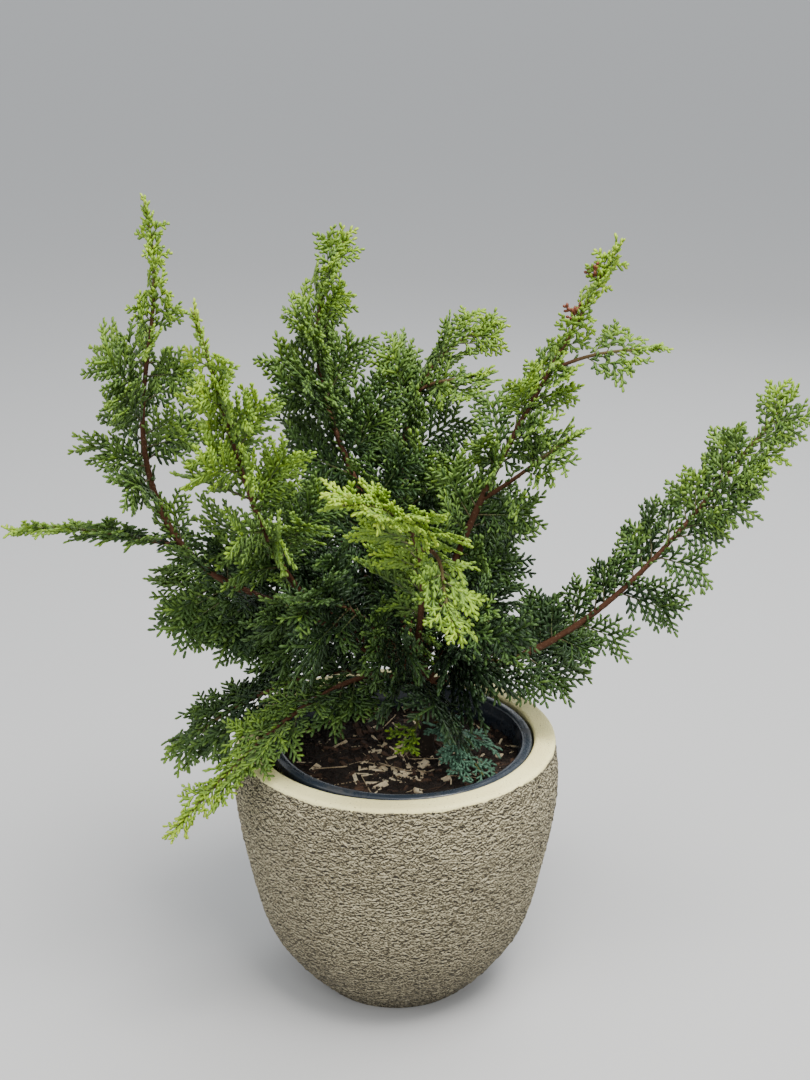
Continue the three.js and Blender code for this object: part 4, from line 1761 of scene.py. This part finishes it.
    def build(self) -> None:
        """Builds the leaves and twigs of every mass."""
        leaf_tree, twig_tree = self.leaf_tree(), self.twig_tree()
        inks = {finish.tone.name.title(): finish.material() for finish in LEAF_FINISHES}
        twig_finish = TwigFinish().material()
        dead = self.dead_sprigs()
        for limb in self.growth.leafy:
            stem = limb.name.replace("_bough", "")
            node = stem if stem.endswith("sprig") else f"{stem}_foliage"
            sprays = self.growth.sprays(limb)
            leaves = self.mass_leaves(limb, sprays)
            if limb.name in dead:
                extra = Leaves.joined([FAN.grow(spray, (0, 0, 0)) for spray in dead[limb.name]])
                extra.tone[:] = Tone.DEAD.value
                leaves = Leaves.joined([leaves, extra])
                sprays = [*sprays, *dead[limb.name]]
            mesh = mesh_of(f"{stem}_points", leaves.start * MM, values={
                "run": leaves.run * MM, "facing": leaves.facing, "width": leaves.width * MM,
                "tone": leaves.tone,
            })
            piece = leaf_tree.grow(f"{stem}_leaves", mesh, inks)
            settle(piece, [node])
            ribs = self.twig_mesh(stem, sprays)
            twigs = twig_tree.grow(f"{stem}_twigs", ribs, {"Twig Finish": twig_finish})
            settle(twigs)


@dataclass
class Wood:
    """The trunk and boughs with the relief of their bark."""

    growth: Growth
    spacing: float = 1.9
    sides: int = 12
    relief: float = 0.34
    run_size: float = 7.0
    turn_size: float = 0.9
    line_points: int = 41
    trunk_sides: int = 40
    trunk_spacing: float = 1.0
    trunk_relief: float = 0.42

    def tree(self) -> Generator:
        """The tree that sweeps a limb along its line and raises the bark's relief.

        Returns:
            The tree.
        """
        tree = Generator("bark_limbs", {
            "Limb Sides": self.sides, "Ring Spacing": self.spacing * MM,
            "Relief": self.relief, "Bark Finish": None,
        })
        line = tree.term("GeometryNodeMeshToCurve", inputs={"Mesh": tree.given("Geometry")})
        line = tree.term(
            "GeometryNodeResampleCurve", {"mode": "LENGTH"},
            {"Curve": line, "Length": tree.given("Ring Spacing")},
        )
        run = tree.term("GeometryNodeSplineParameter", output="Length")
        line = tree.store(line, "along", run)
        turn = tree.term("GeometryNodeSplineParameter", output="Factor")
        ring = tree.store(tree.ring(tree.given("Limb Sides")), "around", turn * (2 * math.pi))
        radius = tree.stored("thick")
        swept = tree.swept(line, ring, radius)
        around, along = tree.stored("around"), tree.stored("along")
        grain = tree.vector(
            around.cosine() / self.turn_size,
            around.sine() / self.turn_size,
            along / (self.run_size * MM) + radius / MM,
        )
        swept = tree.store(swept, "relief", tree.noise(grain, 1.0, 3.0, 0.6))
        rise = (tree.stored("relief") - 0.5) * radius * tree.given("Relief")
        raised = tree.term("GeometryNodeSetPosition", inputs={
            "Geometry": swept, "Offset": tree.scaled(tree.term("GeometryNodeInputNormal"), rise),
        })
        tree.close(raised, [(None, tree.given("Bark Finish"))])
        return tree

    def limb_mesh(self, name: str, limbs: Sequence[Limb]) -> bpy.types.Mesh:
        """The middle lines of limbs as chains of edges.

        Args:
            name: The mesh's name.
            limbs: The limbs.

        Returns:
            The mesh, with a radius stored at each point.
        """
        share = np.linspace(0, 1, self.line_points)
        lines = [limb.point(share) for limb in limbs]
        return chains(name, lines, {"thick": [limb.radius(share) * MM for limb in limbs]})

    def build(self) -> None:
        """Builds the trunk and the boughs."""
        finish = BarkFinish().material()
        tree = self.tree()
        trunk = self.growth.limbs["trunk"]
        boughs = [limb for limb in self.growth.limbs.values() if limb is not trunk]
        sizes = {
            "Limb Sides": self.trunk_sides, "Ring Spacing": self.trunk_spacing * MM,
            "Relief": self.trunk_relief, "Bark Finish": finish,
        }
        settle(tree.grow("trunk_bark", self.limb_mesh("trunk", [trunk]), sizes), ["trunk"])
        piece = tree.grow("bough_bark", self.limb_mesh("boughs", boughs), {"Bark Finish": finish})
        named = [limb.name for limb in boughs if not limb.name.endswith("sprig")]
        settle(piece, named)


# Pots and compost


POT_CENTRE = (5, -3)


def moved(mesh: bpy.types.Mesh, centre: Pair) -> bpy.types.Mesh:
    """Moves a mesh from the planter's axis to its own.

    Args:
        mesh: The mesh.
        centre: The place of its own axis, in millimetres.

    Returns:
        The same mesh.
    """
    offset = Vector((centre[0] * MM, centre[1] * MM, 0))
    for vertex in mesh.vertices:
        vertex.co += offset
    return mesh


@dataclass
class Planter:
    """The round planter with its gritty wall and smooth lip, in millimetres."""

    height: float = 253
    foot_radius: float = 77
    foot_edge: float = 4
    heel: Pair = (105, 32)
    haunch: Pair = (131, 80)
    belly: Pair = (152.5, 190)
    rim_radius: float = 149
    lip_width: float = 19
    lip_round: float = 3
    floor: float = 26
    well_radius: float = 88
    well_swell: float = 1
    sides: int = 400
    spacing: float = 2.3
    inner_spacing: float = 9.0
    relief: float = 2.8
    grit_squash: Triple = (1.0, 1.0, 1.55)
    grit_size: float = 6.5
    grit_twist: float = 0.9
    grit_middle: float = 0.56
    lump: float = 1.2
    lump_size: float = 55
    lump_middle: float = 0.55
    level_foot: float = 1.5
    lip_drop: float = 3.4
    lip_wave: float = 0.5
    lip_blend: float = 3
    lip_waves: tuple[Triple, ...] = ((7, 1, 1.0), (17, 2, 0.6), (31, 0, 0.5))
    shell_heights: Triple = (26, 190, 253)
    shell_radii: Triple = (96, 137, 137)

    def profile(self) -> np.ndarray:
        """The planter's profile.

        Returns:
            Its points in millimetres, from the axis underneath to the axis of the floor.
        """
        mouth = self.rim_radius - self.lip_width
        outside = catmull([
            (self.foot_radius + self.foot_edge, self.foot_edge), self.heel, self.haunch,
            self.belly, (self.rim_radius + self.lip_round / 2, self.height - self.lip_round),
        ], 60)
        inside = catmull([
            (mouth, self.height - self.lip_round), (mouth + self.well_swell, self.belly[1]),
            (self.well_radius, self.floor),
        ], 24)
        turn = np.linspace(0, math.pi / 2, 5)[1:-1]
        round_out = [
            (self.rim_radius - self.lip_round + (1.5 * self.lip_round) * math.cos(a),
             self.height - self.lip_round * (1 - math.sin(a))) for a in turn
        ]
        round_in = [
            (mouth + self.lip_round * (1 - math.sin(a)),
             self.height - self.lip_round * (1 - math.cos(a))) for a in turn
        ]
        ring = [
            (0, 0), (self.foot_radius, 0), *outside, *round_out,
            (self.rim_radius - self.lip_round, self.height), (mouth + self.lip_round, self.height),
            *round_in, *inside, (0, self.floor),
        ]
        return self._even(np.array(ring, float))

    def _even(self, ring: np.ndarray) -> np.ndarray:
        """Adds points so that no step is longer than the spacing of its side.

        Args:
            ring: The rough profile, one row for each point.

        Returns:
            The finer profile.
        """
        rows = [ring[0], ring[1]]
        mouth = self.rim_radius - self.lip_width
        for start, end in zip(ring[1:-1], ring[2:-1]):
            inside = start[0] <= mouth + self.well_swell and start[1] > end[1]
            spacing = self.inner_spacing if inside else self.spacing
            steps = max(1, math.ceil(np.linalg.norm(end - start) / spacing))
            rows += [start + (end - start) * i / steps for i in range(1, steps + 1)]
        return np.array([*rows, ring[-1]])

    def grit(self, ring: np.ndarray, turn: np.ndarray, points: np.ndarray) -> np.ndarray:
        """How gritty each point is.

        Args:
            ring: The number of each point's profile row, which isn't needed here.
            turn: Its angle round the axis.
            points: Its place in metres.

        Returns:
            1 on the wall, 0 on the lip and inside, and a wavy border between them.
        """
        wave = sum(size * np.sin(turn * count + start) for count, start, size in self.lip_waves)
        border = self.height - self.lip_drop + self.lip_wave * wave
        out, upright = np.hypot(points[:, 0], points[:, 1]) / MM, points[:, 2] / MM
        below = np.clip((border - upright) / self.lip_blend + 0.5, 0, 1)
        mouth = self.rim_radius - self.lip_width / 2
        inner = (out < mouth) & (upright > self.floor - 1)
        shell = out < np.interp(upright, self.shell_heights, self.shell_radii)
        return np.where(inner & shell, 0, below)

    def build(self) -> None:
        """Builds the planter in the place of its solid."""
        tree = Generator("gritty_wall", {"Relief": self.relief * MM, "Planter Finish": None})
        place = tree.place()
        flattened = tree.term(
            "ShaderNodeVectorMath", {"operation": "MULTIPLY"}, {0: place, 1: self.grit_squash}
        )
        height = tree.noise(flattened, self.grit_size * MM, 2.0, 0.6, self.grit_twist)
        lump = tree.noise(place, self.lump_size * MM, 1.0, 0.5)
        body = tree.store(tree.given("Geometry"), "relief", height)
        upright = tree.parts(place)[2]
        body = tree.store(body, "height", upright)
        rough = (tree.stored("relief") - self.grit_middle) * tree.stored("grit")
        rise = rough * tree.given("Relief") * 2 + (lump - self.lump_middle) * (self.lump * MM)
        raised = tree.term("GeometryNodeSetPosition", inputs={
            "Geometry": body, "Selection": tree.above(upright, self.level_foot * MM),
            "Offset": tree.scaled(tree.term("GeometryNodeInputNormal"), rise),
        })
        tree.close(tree.smooth(raised), [(None, tree.given("Planter Finish"))])
        mesh = turned("planter_body", self.profile() * MM, self.sides, {"grit": self.grit})
        piece = tree.grow("planter_shell", mesh, {"Planter Finish": PlanterFinish().material()})
        settle(piece, ["planter"])


@dataclass
class NurseryPot:
    """The black pot that the plant came in, with a rolled rim, in millimetres."""

    rim_radius: float = 123.5
    rim_height: float = 11
    rim_lip: float = 10
    roll: float = 2.6
    top: float = 252
    shoulder_radius: float = 117
    base_radius: float = 82
    wall: float = 2
    foot: float = 26.3
    sides: int = 160

    def profile(self) -> np.ndarray:
        """The pot's profile.

        Returns:
            Its points in millimetres, from the axis underneath to the axis of its floor.
        """
        shoulder = self.top - self.rim_height
        turn = np.linspace(0, math.pi, 9)
        middle = self.rim_radius - self.rim_lip / 2
        rolled = [
            (middle + self.rim_lip / 2 * math.cos(a), self.top - self.roll * (1 - math.sin(a)))
            for a in turn
        ]
        return np.array([
            (0, self.foot), (self.base_radius - 3, self.foot), (self.base_radius, self.foot + 3),
            (self.shoulder_radius - 1, shoulder - 6), (self.shoulder_radius, shoulder - 1),
            (self.rim_radius - 0.6, shoulder + 0.4), (self.rim_radius, shoulder + 1.4), *rolled,
            (self.shoulder_radius + 0.4, self.top - 4.2),
            (self.shoulder_radius - 0.6, self.top - 6),
            (self.shoulder_radius - 1.0, shoulder - 1), (self.shoulder_radius - 2.2, shoulder - 3),
            (self.shoulder_radius - self.wall - 1, shoulder - 8),
            (self.base_radius - self.wall, self.foot + self.wall), (0, self.foot + self.wall),
        ], float)

    def build(self) -> None:
        """Builds the pot in the place of its solid."""
        mesh = moved(turned("pot_body", self.profile() * MM, self.sides, {}), POT_CENTRE)
        piece = placed("nursery_pot_shell", mesh)
        mesh.materials.append(PotFinish().material())
        mesh.shade_smooth()
        mesh.set_sharp_from_angle(angle=math.radians(50))
        settle(piece, ["nursery_pot"])


class Litter(Enum):
    """The kinds of bits that lie on the compost."""

    CRUMB = "crumbs"
    CHIP = "chips"
    SPLINTER = "splinters"
    FIBRE = "fibres"


@dataclass
class Compost:
    """The compost with its crumbs, wood chips and fibres, in millimetres."""

    top: float = 230
    edge_top: float = 226
    flat_radius: float = 72
    radius: float = 112.5
    foot: float = 28.6
    foot_radius: float = 79.4
    sides: int = 200
    rings: int = 58
    swell: float = 5.0
    lump_size: float = 9
    mound_size: float = 50
    mound_share: float = 0.8
    level: float = 0.3
    gathering: Triple = (4, -22, 230)
    gather_reach: Pair = (22, 62)

    def body(self) -> bpy.types.Mesh:
        """The closed body of compost, before its surface is roughened.

        Returns:
            The mesh.
        """
        edge, slope = (self.flat_radius, self.radius), (self.top, self.edge_top)
        rows = [(0, self.foot), (self.foot_radius, self.foot), (self.radius, self.edge_top - 6)]
        for radius in np.linspace(self.radius, 0, self.rings)[:-1]:
            rows.append((radius, float(np.interp(radius, edge, slope))))
        rows.append((0, self.top))
        mesh = turned("compost_body", np.array(rows, float) * MM, self.sides, {})
        return moved(mesh, POT_CENTRE)

    def rough_tree(self) -> Generator:
        """The tree that roughens the top of the compost.

        Returns:
            The tree.
        """
        tree = Generator("rough_compost", {"Swell": self.swell * MM, "Compost Finish": None})
        place = tree.place()
        lumps = tree.noise(place, self.lump_size * MM, 4.0, 0.65)
        mounds = tree.noise(place, self.mound_size * MM, 1.0, 0.5)
        rise = ((lumps - 0.5) + (mounds - 0.5) * self.mound_share) * tree.given("Swell")
        raised = tree.term("GeometryNodeSetPosition", inputs={
            "Geometry": tree.given("Geometry"),
            "Selection": tree.above(tree.parts(place)[2], (self.edge_top - 1) * MM),
            "Offset": tree.vector(0.0, 0.0, rise),
        })
        tree.close(tree.smooth(raised), [(None, tree.given("Compost Finish"))])
        return tree

    def litter_tree(self, kind: Litter) -> Generator:
        """The tree that strews one kind of litter on the compost's top.

        Args:
            kind: The kind of litter.

        Returns:
            The tree.
        """
        tree = Generator(kind.value, {
            "Density": 1000.0, "Seed": 1, "Size": 1.0 * MM, "Gather": 0.0, "Litter Finish": None,
        })
        upward = tree.above(tree.parts(tree.term("GeometryNodeInputNormal"))[2], self.level)
        away = tree.term("ShaderNodeVectorMath", {"operation": "DISTANCE"}, {
            0: tree.place(), 1: tuple(part * MM for part in self.gathering),
        }, "Value")
        near, far = self.gather_reach
        thin = away.between(near * MM, far * MM) * tree.given("Gather")
        spread = tree.node("GeometryNodeDistributePointsOnFaces", inputs={
            "Mesh": tree.given("Geometry"), "Selection": upward,
            "Density": tree.given("Density") * (1 - thin), "Seed": tree.given("Seed"),
        })
        shape, low, high, tilt = {
            Litter.CRUMB: (("GeometryNodeMeshIcoSphere", {"Radius": 0.5, "Subdivisions": 1}),
                           (0.5, 0.5, 0.4), (1.7, 1.4, 1.0), 3.1),
            Litter.CHIP: (("GeometryNodeMeshCube", {"Size": (1.0, 0.42, 0.16)}),
                          (0.5, 0.5, 0.6), (1.35, 1.3, 1.5), 0.42),
            Litter.SPLINTER: (("GeometryNodeMeshCube", {"Size": (1.0, 0.12, 0.08)}),
                              (0.5, 0.6, 0.7), (1.5, 1.5, 1.4), 0.3),
            Litter.FIBRE: (("GeometryNodeMeshCone", {"Vertices": 5, "Radius Top": 0.012,
                                                     "Radius Bottom": 0.022, "Depth": 1.0}),
                           (1.0, 1.0, 0.4), (1.3, 1.3, 1.3), 0.2),
        }[kind]
        bit = tree.term(shape[0], inputs=shape[1], output="Mesh")
        if kind is Litter.FIBRE:
            bit = tree.term("GeometryNodeTransform", inputs={
                "Geometry": bit, "Rotation": Euler((0, math.radians(90), 0)),
            })
        bits = tree.term("GeometryNodeInstanceOnPoints", inputs={
            "Points": Term(tree, spread.outputs["Points"]), "Instance": bit,
            "Rotation": tree.chance((-tilt, -tilt, -3.14), (tilt, tilt, 3.14), 3),
            "Scale": tree.scaled(tree.chance(low, high, 5), tree.given("Size")),
        })
        tree.close(bits, [(None, tree.given("Litter Finish"))])
        return tree

    def build(self) -> None:
        """Builds the compost and what lies on it."""
        finish = CompostFinish().material()
        base = self.rough_tree().grow("compost_body", self.body(), {"Compost Finish": finish})
        settle(base, ["compost"])
        dark = CompostFinish("crumbs", (0.010, 0.007, 0.005), (0.042, 0.025, 0.016), 2.0).material()
        tan = ChipFinish("pale_chips", (0.94, 0.80, 0.54), (0.62, 0.47, 0.28)).material()
        brown = ChipFinish("brown_chips", (0.12, 0.062, 0.034), (0.028, 0.015, 0.009)).material()
        straw = ChipFinish("straws", (0.60, 0.47, 0.29), (0.30, 0.21, 0.12)).material()
        plans = (
            (Litter.CRUMB, "compost_crumbs", 60000.0, 3, 3.6, 0.0, dark),
            (Litter.CHIP, "compost_bark_chips", 5500.0, 5, 11.0, 0.3, brown),
            (Litter.CHIP, "compost_pale_chips", 3300.0, 8, 12.5, 0.88, tan),
            (Litter.SPLINTER, "compost_splinters", 6800.0, 9, 15.0, 0.8, tan),
            (Litter.FIBRE, "compost_fibres", 2600.0, 12, 24.0, 0.2, brown),
            (Litter.FIBRE, "compost_straws", 4200.0, 15, 26.0, 0.75, straw),
        )
        for kind, name, density, seed, size, gather, finish in plans:
            sizes = {
                "Density": density, "Seed": seed, "Size": size * MM, "Gather": gather,
                "Litter Finish": finish,
            }
            settle(self.litter_tree(kind).grow(name, base.data.copy(), sizes))


# The studio


@dataclass
class Studio:
    """A plain pale floor, soft lights and the camera at the photograph's viewing angle."""

    camera_place: Triple = (0.0084, -1.3823, 0.9388)
    camera_pitch: float = 19.63
    lens: float = 54.07
    sensor: float = 36.0
    floor_half: float = 70.0
    sky_colour: Triple = (0.90, 0.93, 0.96)
    sky_power: float = 1.10

    def light(
        self, name: str, place: Triple, aim: Triple, size: float, power: float, colour: Triple
    ) -> None:
        """Adds one soft area light.

        Args:
            name: Its name.
            place: Where it stands, in metres.
            aim: The point it faces.
            size: The side of its square, in metres.
            power: Its power in watts.
            colour: Its colour.
        """
        lamp = bpy.data.lights.new(name, "AREA")
        lamp.size, lamp.energy, lamp.color = size, power, colour
        stand = placed(name, lamp)
        stand.location = place
        stand.rotation_euler = (Vector(aim) - Vector(place)).to_track_quat("-Z", "Y").to_euler()

    def build(self) -> None:
        """Sets up the floor, the lights and the camera."""
        half = self.floor_half
        corners = np.array([(-half, -half, 0), (half, -half, 0), (half, half, 0), (-half, half, 0)])
        floor = placed("floor", mesh_of("floor", corners, faces=[(0, 1, 2, 3)]))
        floor.data.materials.append(FloorFinish().material())
        world = bpy.data.worlds.new("studio")
        world.use_nodes = True
        sky = world.node_tree.nodes["Background"]
        sky.inputs["Color"].default_value = (*self.sky_colour, 1)
        sky.inputs["Strength"].default_value = self.sky_power
        bpy.context.scene.world = world
        self.light("overhead", (0.5, -0.7, 2.6), (0, 0, 0.4), 1.3, 118, (1.0, 0.98, 0.94))
        self.light("front", (1.2, -2.2, 1.6), (0, 0, 0.4), 1.6, 24, (1.0, 0.97, 0.93))
        self.light("left", (-1.9, -1.1, 1.0), (-0.1, 0, 0.15), 1.3, 13, (1.0, 0.98, 0.95))
        self.light("back", (0.8, 2.0, 2.0), (0, 0, 0.5), 1.4, 30, (0.95, 0.98, 1.0))
        camera = bpy.data.cameras.new("camera")
        camera.lens, camera.sensor_width = self.lens, self.sensor
        stand = placed("camera", camera)
        stand.location = self.camera_place
        stand.rotation_euler = (math.radians(90 - self.camera_pitch), 0, 0)
        bpy.context.scene.camera = stand


def main() -> None:
    """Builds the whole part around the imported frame."""
    logging.basicConfig(level=logging.INFO, format="%(message)s")
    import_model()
    growth = Growth()
    Studio().build()
    Planter().build()
    NurseryPot().build()
    Compost().build()
    Wood(growth).build()
    Foliage(growth).build()


if __name__ == "__main__":
    main()
